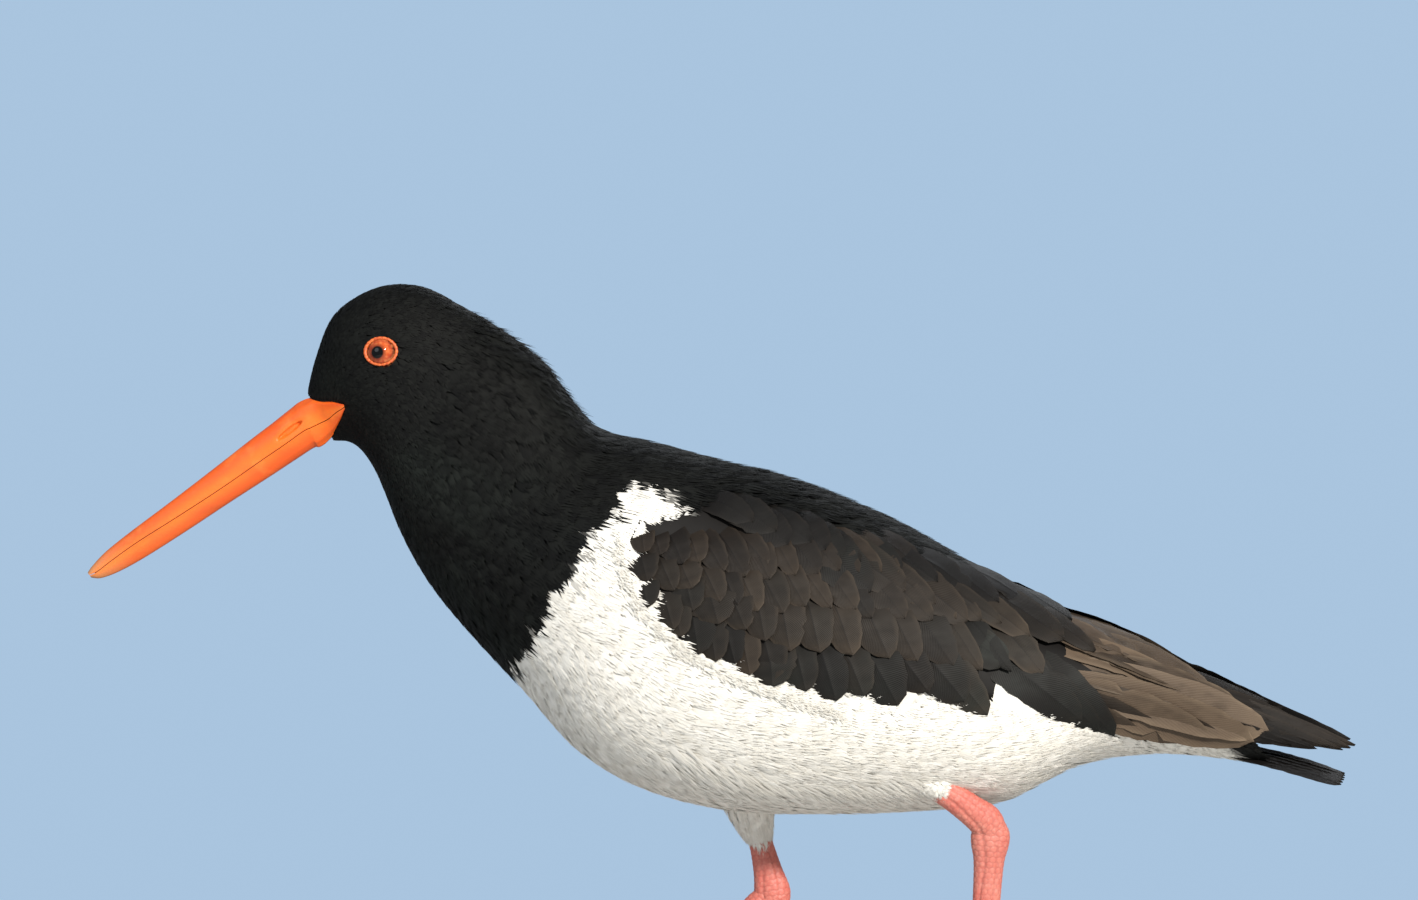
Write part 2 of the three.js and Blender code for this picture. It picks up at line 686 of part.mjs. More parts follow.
// The left leg trails, the right leg reaches forward
const LEGS = {
  left: {
    thigh: [
      { at: [48, -15, 80], deep: 9, wide: 7 },
      { at: [55, -21, 75], deep: 8.2, wide: 6.4 },
      { at: [61, -24, 70.5], deep: 6.2, wide: 5.4 },
      { at: [64.5, -24.8, 68], deep: 4.6, wide: 4.4 },
    ],
    shank: [
      { at: [57, -24, 71.6], deep: 4.0, wide: 3.4 },
      { at: [66.5, -25, 66.2], deep: 4.2, wide: 3.4 },
      { at: [74, -23.2, 61], deep: 4.6, wide: 3.5 },
      { at: [78.5, -21.4, 57.6], deep: 5.2, wide: 3.9 },
      { at: [80.3, -20.6, 54.6], deep: 4.6, wide: 3.7 },
    ],
    ankle: [80.2, -20.4, 54.5],
    toes: [77.2, -17.6, 4.2],
  },
  right: {
    thigh: [
      { at: [8, 12, 72], deep: 10, wide: 8 },
      { at: [8.6, 17, 62], deep: 7.4, wide: 6.4 },
      { at: [10.2, 19, 55.5], deep: 5.4, wide: 5.0 },
      { at: [11.6, 20, 51.0], deep: 3.9, wide: 3.7 },
    ],
    shank: [
      { at: [10, 18.6, 56], deep: 3.2, wide: 3.0 },
      { at: [12, 20, 49], deep: 3.5, wide: 3.1 },
      { at: [14, 20.2, 41], deep: 4.3, wide: 3.4 },
      { at: [15.3, 20.4, 35], deep: 5.4, wide: 3.9 },
      { at: [15.6, 20.4, 31.4], deep: 5.0, wide: 3.8 },
    ],
    ankle: [15.6, 20.4, 31.6],
    toes: [-29, 23.4, 4.6],
  },
};

// Shares of the way from the ankle to the toes, each with its radii
const TARSUS = [
  { share: -0.07, deep: 3.2, wide: 3.0 },
  { share: 0.0, deep: 5.6, wide: 3.9 },
  { share: 0.08, deep: 5.6, wide: 3.9 },
  { share: 0.17, deep: 4.6, wide: 3.4 },
  { share: 0.3, deep: 4.2, wide: 2.9 },
  { share: 0.6, deep: 3.9, wide: 2.7 },
  { share: 0.85, deep: 3.7, wide: 3.0 },
  { share: 0.97, deep: 3.9, wide: 3.9 },
  { share: 1.05, deep: 2.8, wide: 3.0 },
];

function tarsus(ankle, toes) {
  const stations = TARSUS.map(({ share, deep, wide }) => ({
    at: ankle.map((v, k) => lerp(v, toes[k], share)),
    deep,
    wide,
  }));
  return limb(stations);
}

const TOES = [
  { name: "inner", turnDeg: 27, length: 24 },
  { name: "middle", turnDeg: 0, length: 31 },
  { name: "outer", turnDeg: -27, length: 27 },
];
const TOE = { root: 2.7, tip: 1.7, knuckle: 0.35, end: 0.75, raised: 0.7 };
const BALL = { radius: 3.6, tall: 0.9, height: 2.4 };
const CLAW = { length: 6.0, root: 1.35, tip: 0.35, narrow: 0.8, sunk: 1.2, heights: [1.75, 0.6] };
const WEB = { height: 2.0, falls: 0.4, hollow: 2.2, thickness: 1.2, outer: 11, inner: 7 };

// A point along a toe that leaves the ball of the foot, and its radius
function toeLine(foot, side, { turnDeg, length }) {
  const turn = radians(turnDeg) * side;
  const forward = new THREE.Vector3(-Math.cos(turn), -Math.sin(turn), 0);
  return (distance) => new THREE.Vector3(foot[0], foot[1], 0).addScaledVector(forward, distance);
}

function toe(foot, side, spec) {
  const line = toeLine(foot, side, spec);
  const stations = [0, 0.25, 0.5, 0.75, 0.92, 1].map((t, i) => {
    const radius = lerp(TOE.root, TOE.tip, t) + (i % 2 ? TOE.knuckle : 0);
    const thin = t === 1 ? TOE.end : 1;
    const at = line(t * spec.length);
    return { at: [at.x, at.y, radius * TOE.raised], deep: radius * thin, wide: radius * thin };
  });
  const geometry = limb(stations, 8);
  flatten(geometry);
  return solid(geometry);
}

// The underside pressed flat on the floor
function flatten(geometry) {
  const position = geometry.attributes.position;
  for (let i = 0; i < position.count; i++) position.setZ(i, Math.max(0, position.getZ(i)));
}

function claw(foot, side, spec) {
  const line = toeLine(foot, side, spec);
  const start = spec.length - CLAW.sunk;
  const stations = [0, 0.35, 0.7, 1].map((t) => {
    const at = line(start + t * CLAW.length);
    const radius = lerp(CLAW.root, CLAW.tip, t);
    const height = lerp(...CLAW.heights, t * t);
    return { at: [at.x, at.y, height], deep: radius, wide: radius * CLAW.narrow };
  });
  return limb(stations, 6);
}

// The small web between two toes
function web(foot, side, a, b, reach) {
  const [first, second] = [toeLine(foot, side, a), toeLine(foot, side, b)];
  const rows = [0.05, 0.55, 1].map((t) => {
    const [from, to] = [first(reach * t), second(reach * t)];
    return [0, 0.5, 1].map((w) => {
      const point = from.clone().lerp(to, w);
      point.z = WEB.height - WEB.falls * t;
      if (w === 0.5) point.addScaledVector(backToFoot(from, to, foot), WEB.hollow * t);
      return { point, normal: new THREE.Vector3(0, 0, 1) };
    });
  });
  return solid(plate(rows, WEB.thickness));
}

// The direction from the middle of two points back to the foot
function backToFoot(from, to, foot) {
  const middle = from.clone().add(to).multiplyScalar(0.5);
  return new THREE.Vector3(foot[0], foot[1], 0).sub(middle).normalize();
}

for (const [name, leg] of Object.entries(LEGS)) {
  const side = name === "left" ? LEFT : RIGHT;
  const foot = leg.toes;
  const shankLoft = limb(leg.shank);
  const tarsusLoft = tarsus(leg.ankle, foot);
  const tarsusRoom = roomFor(tarsusLoft);
  const shankRoom = roomFor(shankLoft);
  const thigh = cut(solid(limb(leg.thigh, 16)), torsoRoom, shankRoom);
  addNode(`thigh_${name}`, thigh, "white plumage");
  addNode(`shank_${name}`, cut(solid(shankLoft), tarsusRoom, torsoRoom), "pink leg");
  const toes = TOES.map((spec) => toe(foot, side, spec));
  const [inner, middle, outer] = TOES;
  const ball = new THREE.SphereGeometry(BALL.radius, 10, 7).scale(1, 1, BALL.tall);
  ball.translate(foot[0], foot[1], BALL.height);
  flatten(ball);
  const webs = [
    web(foot, side, middle, outer, WEB.outer),
    web(foot, side, inner, middle, WEB.inner),
  ];
  const clawRooms = TOES.map((spec) => roomFor(claw(foot, side, spec)));
  const sole = union([...toes, solid(ball), ...webs]);
  addNode(`foot_${name}`, cut(sole, tarsusRoom, ...clawRooms), "pink leg");
  addNode(`tarsus_${name}`, solid(tarsusLoft), "pink leg");
  for (const spec of TOES)
    addNode(`claw_${name}_${spec.name}`, solid(claw(foot, side, spec)), "dark claw");
}
addNode("torso", solid(torsoLoft), "white plumage");

export default bird;
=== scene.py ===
"""A life-size oystercatcher walking with its head lowered, feathered over a fixed frame."""

import math
from collections import namedtuple

import bpy
import numpy as np
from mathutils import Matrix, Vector


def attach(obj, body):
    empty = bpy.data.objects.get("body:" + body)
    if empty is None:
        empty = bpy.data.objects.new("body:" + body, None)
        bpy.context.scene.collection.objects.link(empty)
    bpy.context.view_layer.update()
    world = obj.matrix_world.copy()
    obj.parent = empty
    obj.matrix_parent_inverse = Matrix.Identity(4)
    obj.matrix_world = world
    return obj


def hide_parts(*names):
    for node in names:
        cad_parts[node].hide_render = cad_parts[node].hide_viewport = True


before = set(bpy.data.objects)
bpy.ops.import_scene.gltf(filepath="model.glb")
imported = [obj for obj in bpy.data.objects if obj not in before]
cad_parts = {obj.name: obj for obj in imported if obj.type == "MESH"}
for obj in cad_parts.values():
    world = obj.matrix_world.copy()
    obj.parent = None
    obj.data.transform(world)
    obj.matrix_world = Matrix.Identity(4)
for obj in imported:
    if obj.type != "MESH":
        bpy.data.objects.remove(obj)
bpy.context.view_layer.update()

MM = 0.001
TAU = 2 * math.pi
LEFT, RIGHT = -1, 1
SIDES = {"left": LEFT, "right": RIGHT}
rng = np.random.default_rng(11)

# View and light

PHOTO = (1418, 900)
PIXEL = 0.30 * MM  # the size of a photograph's pixel at the bird
CAMERA_AT = (-3.75 * MM, -3.0, 168 * MM)
LIGHTS = {  # place in metres, size, power and colour
    "sun": ((3.0, -6.2, 3.4), 0.8, 900, (1.0, 0.955, 0.88)),
    "fill": ((-4.0, -3.6, 2.2), 3.4, 60, (0.86, 0.93, 1.0)),
    "back": ((1.5, 4.5, 3.2), 3.0, 60, (0.92, 0.96, 1.0)),
}
LIGHTS_AIM_AT = (0.0, 0.0, 0.12)
SKY_SEEN = (0.40, 0.555, 0.735, 1)
SKY_LIGHT, SKY_STRENGTH = (0.62, 0.70, 0.80, 1), 0.42


def make_camera():
    data = bpy.data.cameras.new("camera")
    data.sensor_width = 36
    data.lens = data.sensor_width * -CAMERA_AT[1] / (PHOTO[0] * PIXEL)
    data.clip_start, data.clip_end = 0.1, 30
    camera = bpy.data.objects.new("camera", data)
    camera.location = CAMERA_AT
    camera.rotation_euler = (math.pi / 2, 0, 0)
    bpy.context.scene.collection.objects.link(camera)
    bpy.context.scene.camera = camera


def soft_light(name, at, size, power, colour):
    data = bpy.data.lights.new(name, "AREA")
    data.shape, data.size = "DISK", size
    data.energy, data.color = power, colour
    light = bpy.data.objects.new(name, data)
    light.location = at
    aim = Vector(np.subtract(LIGHTS_AIM_AT, at))
    light.rotation_euler = aim.to_track_quat("-Z", "Y").to_euler()
    bpy.context.scene.collection.objects.link(light)


def make_light():
    for name, settings in LIGHTS.items():
        soft_light(name, *settings)
    world = bpy.data.worlds.new("sky")
    world.use_nodes = True
    nodes, links = world.node_tree.nodes, world.node_tree.links
    seen, lighting = nodes["Background"], nodes.new("ShaderNodeBackground")
    seen.inputs["Color"].default_value = SKY_SEEN
    lighting.inputs["Color"].default_value = SKY_LIGHT
    lighting.inputs["Strength"].default_value = SKY_STRENGTH
    path, share = nodes.new("ShaderNodeLightPath"), nodes.new("ShaderNodeMixShader")
    links.new(path.outputs["Is Camera Ray"], share.inputs[0])
    links.new(lighting.outputs[0], share.inputs[1])
    links.new(seen.outputs[0], share.inputs[2])
    links.new(share.outputs[0], nodes["World Output"].inputs["Surface"])
    bpy.context.scene.world = world
    bpy.context.scene.view_settings.view_transform = "Standard"


# Materials


class Value:
    """A number inside a finish. Arithmetic on it adds Math nodes."""

    def __init__(self, finish, socket):
        self.finish, self.socket = finish, socket

    def math(self, operation, *values):
        return self.finish.node("ShaderNodeMath", {"operation": operation}, list(values))

    def __add__(self, other):
        return self.math("ADD", self, other)

    __radd__ = __add__

    def __sub__(self, other):
        return self.math("SUBTRACT", self, other)

    def __rsub__(self, other):
        return self.math("SUBTRACT", other, self)

    def __mul__(self, other):
        return self.math("MULTIPLY", self, other)

    __rmul__ = __mul__

    def size(self):
        return self.math("ABSOLUTE", self)

    def sine(self):
        return self.math("SINE", self)

    def step(self, start, end):
        """0 before start, 1 after end, and smooth between."""
        settings = {"interpolation_type": "SMOOTHSTEP"}
        values = {"Value": self, "From Min": start, "From Max": end}
        return self.finish.node("ShaderNodeMapRange", settings, values)


class Finish:
    """A material made of nodes, with one Principled shader."""

    def __init__(self, name, **fixed):
        self.material = bpy.data.materials.new(name)
        self.material.use_nodes = True
        self.nodes = self.material.node_tree.nodes
        self.links = self.material.node_tree.links
        self.shader = self.nodes["Principled BSDF"]
        for socket, value in fixed.items():
            self.shader.inputs[socket.replace("_", " ")].default_value = value

    def node(self, kind, settings, values, output=0):
        made = self.nodes.new(kind)
        for key, setting in settings.items():
            if key == "stops":
                self.set_stops(made.color_ramp, setting)
            else:
                setattr(made, key, setting)
        pairs = values.items() if isinstance(values, dict) else enumerate(values)
        for key, value in pairs:
            if isinstance(value, Value):
                self.links.new(value.socket, made.inputs[key])
            else:
                made.inputs[key].default_value = value
        return Value(self, made.outputs[output])

    def set_stops(self, ramp, stops):
        while len(ramp.elements) < len(stops):
            ramp.elements.new(1.0)
        for element, (stop, colour) in zip(ramp.elements, stops):
            element.position = stop
            element.color = (*colour, 1)

    def attribute(self, name):
        return self.node("ShaderNodeAttribute", {"attribute_name": name}, {}, "Fac")

    def noise(self, scale, detail=3.0, stretch=(1, 1, 1)):
        where = self.node("ShaderNodeTexCoord", {}, {}, "Object")
        where = self.node("ShaderNodeMapping", {}, {"Vector": where, "Scale": stretch})
        values = {"Vector": where, "Scale": scale, "Detail": detail}
        return self.node("ShaderNodeTexNoise", {}, values, "Fac")

    def mix(self, share, first, second):
        values = {0: share}
        for key, colour in ((6, first), (7, second)):
            values[key] = colour if isinstance(colour, Value) else (*colour, 1)
        return self.node("ShaderNodeMix", {"data_type": "RGBA"}, values, 2)

    def ramp(self, value, stops):
        return self.node("ShaderNodeValToRGB", {"stops": stops}, {"Fac": value}, "Color")

    def set(self, socket, value):
        self.links.new(value.socket, self.shader.inputs[socket])

    def bump(self, height, strength, distance):
        values = {"Height": height, "Strength": strength, "Distance": distance}
        self.set("Normal", self.node("ShaderNodeBump", {}, values, "Normal"))


BLACK = (0.0020, 0.0020, 0.0023)
BLACK_LIT = (0.0100, 0.0106, 0.0096)
WHITE = (0.84, 0.82, 0.775)
WHITE_SHADED = (0.66, 0.63, 0.565)
BROWN = (0.105, 0.074, 0.050)
BROWN_DARK = (0.0046, 0.0037, 0.0033)
BROWN_WORN = (0.21, 0.155, 0.105)
GREEN_SHEEN = (0.014, 0.0175, 0.015)


def body_plumage():
    finish = Finish("body plumage", Specular_IOR_Level=0.09)
    white, shade = finish.attribute("white"), finish.attribute("shade")
    along, across = finish.attribute("along"), finish.attribute("across")
    mottle = finish.noise(90.0)
    dark = finish.mix(shade * 0.6 + mottle * 0.4, BLACK, BLACK_LIT)
    # Painted sheen: greenish patches over the black.
    sheen_patches = finish.noise(26.0, stretch=(0.6, 1, 1)).step(0.5, 0.75)
    dark = finish.mix(sheen_patches * (0.25 + shade * 0.45), dark, GREEN_SHEEN)
    light = finish.mix(shade * 0.45 + mottle * 0.25, WHITE, WHITE_SHADED)
    # Painted shade: the white darkens towards each feather's root, where the feathers above shade it.
    shaded_roots = finish.mix(along.step(0.25, 0.0) * 0.55, light, WHITE_SHADED)
    finish.set("Base Color", finish.mix(white, dark, shaded_roots))
    finish.set("Roughness", 0.62 + white * 0.2)
    line = along * 40.0 - across.size() * 14.0
    finish.bump(line.sine(), 0.2, 0.00005)
    return finish.material


def flight_plumage():
    finish = Finish("flight feathers", Specular_IOR_Level=0.2)
    brown, green, pale = (finish.attribute(name) for name in TINTS)
    along, across = finish.attribute("along"), finish.attribute("across")
    shade = finish.attribute("shade")
    streaks = finish.noise(260.0, 4.0, (0.5, 1, 1))
    patches = finish.noise(45.0)
    base = finish.mix(brown, BROWN_DARK, BROWN)
    # Painted sheen: a greenish shine in patches over the coverts.
    base = finish.mix(green * patches.step(0.3, 0.7), base, GREEN_SHEEN)
    base = finish.mix(shade * 0.5 + streaks.step(0.35, 0.75) * 0.3, base, BROWN_DARK)
    worn = across.size().step(0.7, 1.0) * 0.5 + along.step(0.8, 1.0) * 0.6
    worn = worn * (brown * 0.8 + 0.04) * streaks.step(0.3, 0.7)
    base = finish.mix(worn + patches.step(0.62, 0.85) * brown * 0.3, base, BROWN_WORN)
    shaft = (1 - across.size().step(0.015, 0.05)) * (1 - along * 0.6) * 0.7
    base = finish.mix(shaft, base, BLACK)
    soft = finish.mix(shade * 0.5 + streaks * 0.3, WHITE, WHITE_SHADED)
    finish.set("Base Color", finish.mix(pale, base, soft))
    finish.set("Roughness", 0.52 + streaks * 0.2)
    line = along * 260.0 - across.size() * 60.0
    finish.bump(line.sine() * 0.6 + streaks, 0.3, 0.0001)
    return finish.material


def bill_horn():
    finish = Finish(
        "bill horn",
        Subsurface_Weight=0.12,
        Subsurface_Radius=(0.004, 0.0012, 0.0005),
        Subsurface_Scale=0.4,
    )
    reach, depth = finish.attribute("reach"), finish.attribute("depth")
    streaks = finish.noise(520.0, 5.0, (0.16, 1, 0.3))
    blotch = finish.noise(140.0)
    from_root = [
        (0.0, (0.74, 0.085, 0.007)),
        (0.18, (0.80, 0.120, 0.006)),
        (0.45, (0.76, 0.095, 0.006)),
        (0.78, (0.66, 0.105, 0.012)),
        (0.93, (0.52, 0.200, 0.070)),
        (1.0, (0.36, 0.21, 0.11)),
    ]
    colour = finish.ramp(reach, from_root)
    # Painted highlight: a brighter orange along the middle of the bill's height, fading towards its top
    # and bottom.
    highlighted = finish.mix(depth.step(0.3, 0.9) * 0.5, colour, (0.92, 0.22, 0.02))
    dull = finish.mix(streaks.step(0.45, 0.8) * 0.35, highlighted, (0.42, 0.06, 0.012))
    finish.set("Base Color", finish.mix(blotch.step(0.55, 0.8) * 0.25, dull, (0.95, 0.36, 0.08)))
    finish.set("Roughness", 0.34 + streaks * 0.22)
    finish.bump(streaks, 0.3, 0.00025)
    return finish.material


def shaded_mouth_skin():
    finish = Finish("mouth lining")
    dark_varies = finish.noise(300.0)
    # The lining's dark red is painted shade in the slit between the closed halves, uneven in darkness.
    finish.set("Base Color", finish.mix(dark_varies, (0.10, 0.016, 0.006), (0.045, 0.010, 0.006)))
    finish.set("Roughness", 0.55 + dark_varies * 0.2)
    return finish.material


def eye_glass():
    finish = Finish("eye", Roughness=0.04, IOR=1.4)
    polar, pupil = finish.attribute("polar"), finish.attribute("pupil")
    rays = finish.noise(900.0, 5.0)
    from_middle = [
        (0.0, (0.56, 0.105, 0.026)),
        (0.55, (0.52, 0.080, 0.018)),
        (0.80, (0.34, 0.040, 0.012)),
        (0.93, (0.04, 0.007, 0.005)),
    ]
    iris = finish.ramp(polar, from_middle)
    iris = finish.mix(rays.step(0.35, 0.7) * 0.45, iris, (0.74, 0.25, 0.08))
    iris = finish.mix((1 - pupil.step(0.95, 1.6)) * 0.75, iris, (0.12, 0.014, 0.007))
    finish.set("Base Color", finish.mix(1 - pupil.step(0.82, 1.04), iris, (0.002, 0.002, 0.002)))
    return finish.material


def lid_skin():
    finish = Finish("eyelid skin", Subsurface_Weight=0.15, Subsurface_Scale=0.001)
    wrinkles = finish.noise(1500.0)
    colour = finish.mix(wrinkles.step(0.3, 0.7), (0.46, 0.060, 0.014), (0.72, 0.170, 0.035))
    finish.set("Base Color", colour)
    finish.set("Roughness", 0.38 + wrinkles * 0.2)
    finish.bump(wrinkles, 0.4, 0.0002)
    return finish.material


def leg_skin():
    finish = Finish(
        "leg skin",
        Subsurface_Weight=0.2,
        Subsurface_Radius=(0.004, 0.0015, 0.001),
        Subsurface_Scale=0.5,
    )
    raised = finish.attribute("raised")
    flush, fine = finish.noise(75.0), finish.noise(900.0, 4.0)
    pink = finish.mix(flush.step(0.35, 0.7), (0.50, 0.125, 0.095), (0.56, 0.19, 0.145))
    pale = finish.mix(fine.step(0.4, 0.8) * 0.3, pink, (0.66, 0.34, 0.27))
    finish.set("Base Color", finish.mix((1 - raised.step(0.0, 0.45)) * 0.42, pale, (0.36, 0.085, 0.065)))
    finish.set("Roughness", 0.42 + fine * 0.22)
    finish.bump(fine, 0.25, 0.00015)
    return finish.material


def claw_horn():
    finish = Finish("claw horn")
    grain = finish.noise(600.0, 4.0, (0.2, 1, 1))
    colour = finish.mix(grain, (0.012, 0.010, 0.009), (0.060, 0.045, 0.038))
    finish.set("Base Color", colour)
    finish.set("Roughness", 0.3 + grain * 0.25)
    finish.bump(grain, 0.2, 0.0001)
    return finish.material


def floor_paint():
    finish = Finish("pale floor")
    cloud = finish.noise(6.0)
    finish.set("Base Color", finish.mix(cloud, (0.50, 0.50, 0.485), (0.55, 0.55, 0.535)))
    finish.set("Roughness", 0.7 + cloud * 0.15)
    return finish.material


# Meshes


SHARP_FROM = math.radians(60)


def make_mesh(name, points, faces, material, attributes=None, unwrap=None):
    """A smooth mesh from points in millimetres. unwrap is a place on the OFBake map per point,
    and is given for feathers, whose edges stay sharp."""
    points = np.asarray(points, np.float32).reshape(-1, 3) * MM
    faces = np.asarray(faces, np.int32)
    mesh = bpy.data.meshes.new(name)
    mesh.vertices.add(len(points))
    mesh.vertices.foreach_set("co", points.ravel())
    mesh.loops.add(faces.size)
    mesh.loops.foreach_set("vertex_index", faces.ravel())
    mesh.polygons.add(len(faces))
    mesh.polygons.foreach_set("loop_start", np.arange(len(faces), dtype=np.int32) * faces.shape[1])
    mesh.polygons.foreach_set("use_smooth", np.ones(len(faces), bool))
    mesh.update(calc_edges=True)
    for key, values in (attributes or {}).items():
        layer = mesh.attributes.new(key, "FLOAT", "POINT")
        layer.data.foreach_set("value", np.asarray(values, np.float32).ravel())
    if unwrap is not None:
        layer = mesh.uv_layers.new(name="OFBake")
        layer.data.foreach_set("uv", np.asarray(unwrap, np.float32)[faces.ravel()].ravel())
        mesh.set_sharp_from_angle(angle=SHARP_FROM)
    mesh.validate()
    mesh.materials.append(material)
    piece = bpy.data.objects.new(name, mesh)
    bpy.context.scene.collection.objects.link(piece)
    return piece


def place(piece, slot, *nodes):
    if nodes:
        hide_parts(*nodes)
    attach(piece, "root")
    return piece


def circle(many):
    """Angles once round."""
    return np.linspace(0, TAU, many, endpoint=False)


def ring_quads(rows, around, joined):
    """Quads between rings of points. When joined, the last ring meets the first one."""
    i, j = np.meshgrid(np.arange(rows if joined else rows - 1), np.arange(around), indexing="ij")
    ahead, beside = (i + 1) % rows * around, (j + 1) % around
    corners = (i * around + j, i * around + beside, ahead + beside, ahead + j)
    return np.stack(corners, -1).reshape(-1, 4)


def tube_faces(rows, around):
    """Triangles between rings of points, with a fan of triangles over each end."""
    faces = ring_quads(rows, around, False)
    first, last = rows * around, rows * around + 1
    j = np.arange(around)
    k = (j + 1) % around
    ends = (rows - 1) * around
    front = np.stack([k, j, np.full(around, first)], -1)
    back = np.stack([ends + j, ends + k, np.full(around, last)], -1)
    split = np.concatenate([faces[:, [0, 1, 2]], faces[:, [0, 2, 3]]])
    return np.concatenate([split, front, back])


def tube_mesh(name, rings, material, attributes=None):
    """A closed mesh through rings of points (rows, round, 3)."""
    rows, around = rings.shape[:2]
    ends = np.stack([rings[0].mean(0), rings[-1].mean(0)])
    points = np.concatenate([rings.reshape(-1, 3), ends])
    faces = tube_faces(rows, around)
    a, b, c = points[faces[:, 0]], points[faces[:, 1]], points[faces[:, 2]]
    if np.einsum("ij,ij->i", a, np.cross(b, c)).sum() < 0:
        faces = faces[:, ::-1]
    values = {}
    for key, array in (attributes or {}).items():
        array = np.asarray(array)
        values[key] = np.concatenate([array.ravel(), [array[0].mean(), array[-1].mean()]])
    return make_mesh(name, points, faces, material, values)


def curve(values, s):
    """Smooth values at places s along a list of rows."""
    values = np.asarray(values, float)
    last = len(values) - 1
    s = np.clip(np.asarray(s, float), 0, last)
    i = np.minimum(s.astype(int), last - 1)
    t = (s - i)[..., None]
    a, b, c, d = (values[np.clip(i + k, 0, last)] for k in (-1, 0, 1, 2))
    return b + 0.5 * t * (c - a + t * (2 * a - 5 * b + 4 * c - d + t * (3 * (b - c) + d - a)))


def smooth(x, start, end):
    t = np.clip((np.asarray(x, float) - start) / (end - start), 0, 1)
    return t * t * (3 - 2 * t)


def unit(vectors):
    return vectors / np.maximum(np.linalg.norm(vectors, axis=-1, keepdims=True), 1e-9)


def mixed(a, b, t):
    return a + (b - a) * t


# The plumage's surface, in millimetres: top (x, z), bottom (x, z), half width, depth under the wing

SECTIONS = [
    (-124.3, 184.8, -116.5, 170.7, 5.6, 0.0),
    (-121.9, 195.0, -112.6, 170.7, 9.0, 0.0),
    (-117.1, 207.3, -109.3, 169.2, 12.6, 0.0),
    (-109.6, 213.9, -106.3, 165.9, 15.0, 0.0),
    (-100.0, 217.5, -103.3, 160.8, 16.6, 0.0),
    (-89.2, 216.9, -100.3, 153.6, 17.6, 0.0),
    (-77.8, 211.2, -97.3, 145.8, 18.6, 0.0),
    (-65.2, 203.7, -93.1, 137.1, 20.9, 0.0),
    (-53.2, 194.4, -87.1, 127.2, 23.5, 0.0),
    (-44.2, 182.4, -79.0, 117.0, 27.2, 0.0),
    (-35.2, 174.0, -68.8, 105.6, 32.4, 0.0),
    (-20.8, 170.7, -57.4, 93.6, 38.1, 2.2),
    (-2.9, 165.9, -43.4, 78.0, 42.3, 3.4),
    (16.6, 161.5, -24.1, 66.6, 44.9, 3.9),
    (36.1, 154.7, 1.3, 60.0, 46.0, 4.1),
    (55.6, 145.7, 30.1, 58.8, 44.9, 4.2),
    (75.1, 134.6, 58.6, 59.7, 41.8, 4.3),
    (94.3, 124.4, 84.1, 62.4, 36.6, 4.4),
    (112.3, 116.3, 107.0, 73.2, 30.3, 4.4),
    (130.3, 108.5, 128.5, 76.8, 24.6, 4.4),
    (148.3, 100.1, 149.5, 75.6, 18.5, 4.4),
    (166.3, 93.5, 168.2, 72.0, 13.5, 4.2),
    (183.2, 86.6, 184.0, 67.2, 9.5, 4.0),
    (200.0, 79.0, 200.0, 60.0, 6.5, 3.0),
]
ROUNDNESS = 2.15
BODY_ENDS = 20.4


class Surface:
    """A surface given by a grid of points: u runs along it, v once round it from 0 to 1."""

    def __init__(self, points):
        self.points = points
        self.rows, self.round = points.shape[:2]
        self.along = np.gradient(points, axis=0) * (self.rows - 1)
        ahead, behind = np.roll(points, -1, 1), np.roll(points, 1, 1)
        self.across = (ahead - behind) * 0.5 * self.round
        normal = unit(np.cross(self.along, self.across))
        centre = points.mean(1, keepdims=True)
        flip = np.sign((normal * (points - centre)).sum())
        self.normal = normal * flip

    def read(self, grid, u, v):
        x = np.clip(u, 0, 1) * (self.rows - 1)
        i = np.minimum(x.astype(int), self.rows - 2)
        y = (v % 1.0) * self.round
        j = y.astype(int) % self.round
        k = (j + 1) % self.round
        tx, ty = (x - i)[..., None], (y - np.floor(y))[..., None]
        low = mixed(grid[i, j], grid[i, k], ty)
        high = mixed(grid[i + 1, j], grid[i + 1, k], ty)
        return mixed(low, high, tx)

    def at(self, u, v):
        return self.read(self.points, u, v)

    def steps(self, u, v, vectors):
        """How far to move in u and v to follow vectors that lie in the surface."""
        a, b = self.read(self.along, u, v), self.read(self.across, u, v)
        aa, ab, bb = (a * a).sum(-1), (a * b).sum(-1), (b * b).sum(-1)
        va, vb = (vectors * a).sum(-1), (vectors * b).sum(-1)
        scale = 1 / np.maximum(aa * bb - ab * ab, 1e-9)
        return (va * bb - vb * ab) * scale, (vb * aa - va * ab) * scale


PLACES = len(SECTIONS) - 1  # u times this is the place along the sections


def plumage_grid(rows, around):
    s = np.linspace(0, PLACES, rows)[:, None]
    angle = (np.linspace(0, 1, around, endpoint=False) * TAU - math.pi)[None]
    cut = curve(SECTIONS, s[:, 0])[:, None]
    power = 2 / ROUNDNESS
    sine, cosine = np.sin(angle), np.cos(angle)
    up = 0.5 + 0.5 * np.sign(sine) * np.abs(sine) ** power
    out = np.sign(cosine) * np.abs(cosine) ** power
    x = mixed(cut[..., 2], cut[..., 0], up)
    z = mixed(cut[..., 3], cut[..., 1], up)
    return np.stack([x, cut[..., 4] * out, z], -1)


plumage = Surface(plumage_grid(900, 720))


def angle_of(v):
    """The angle from the side, folded onto one side: a quarter turn is the top."""
    angle = (np.asarray(v) % 1.0) * TAU - math.pi
    folded = np.where(angle > math.pi / 2, math.pi - angle, angle)
    return np.where(angle < -math.pi / 2, -math.pi - angle, folded)


def turn_of(angle, side):
    """The place v round the surface of an angle on one side."""
    angle = np.asarray(angle, float)
    turned = angle if side == RIGHT else math.pi - angle
    return ((turned + math.pi) / TAU) % 1.0


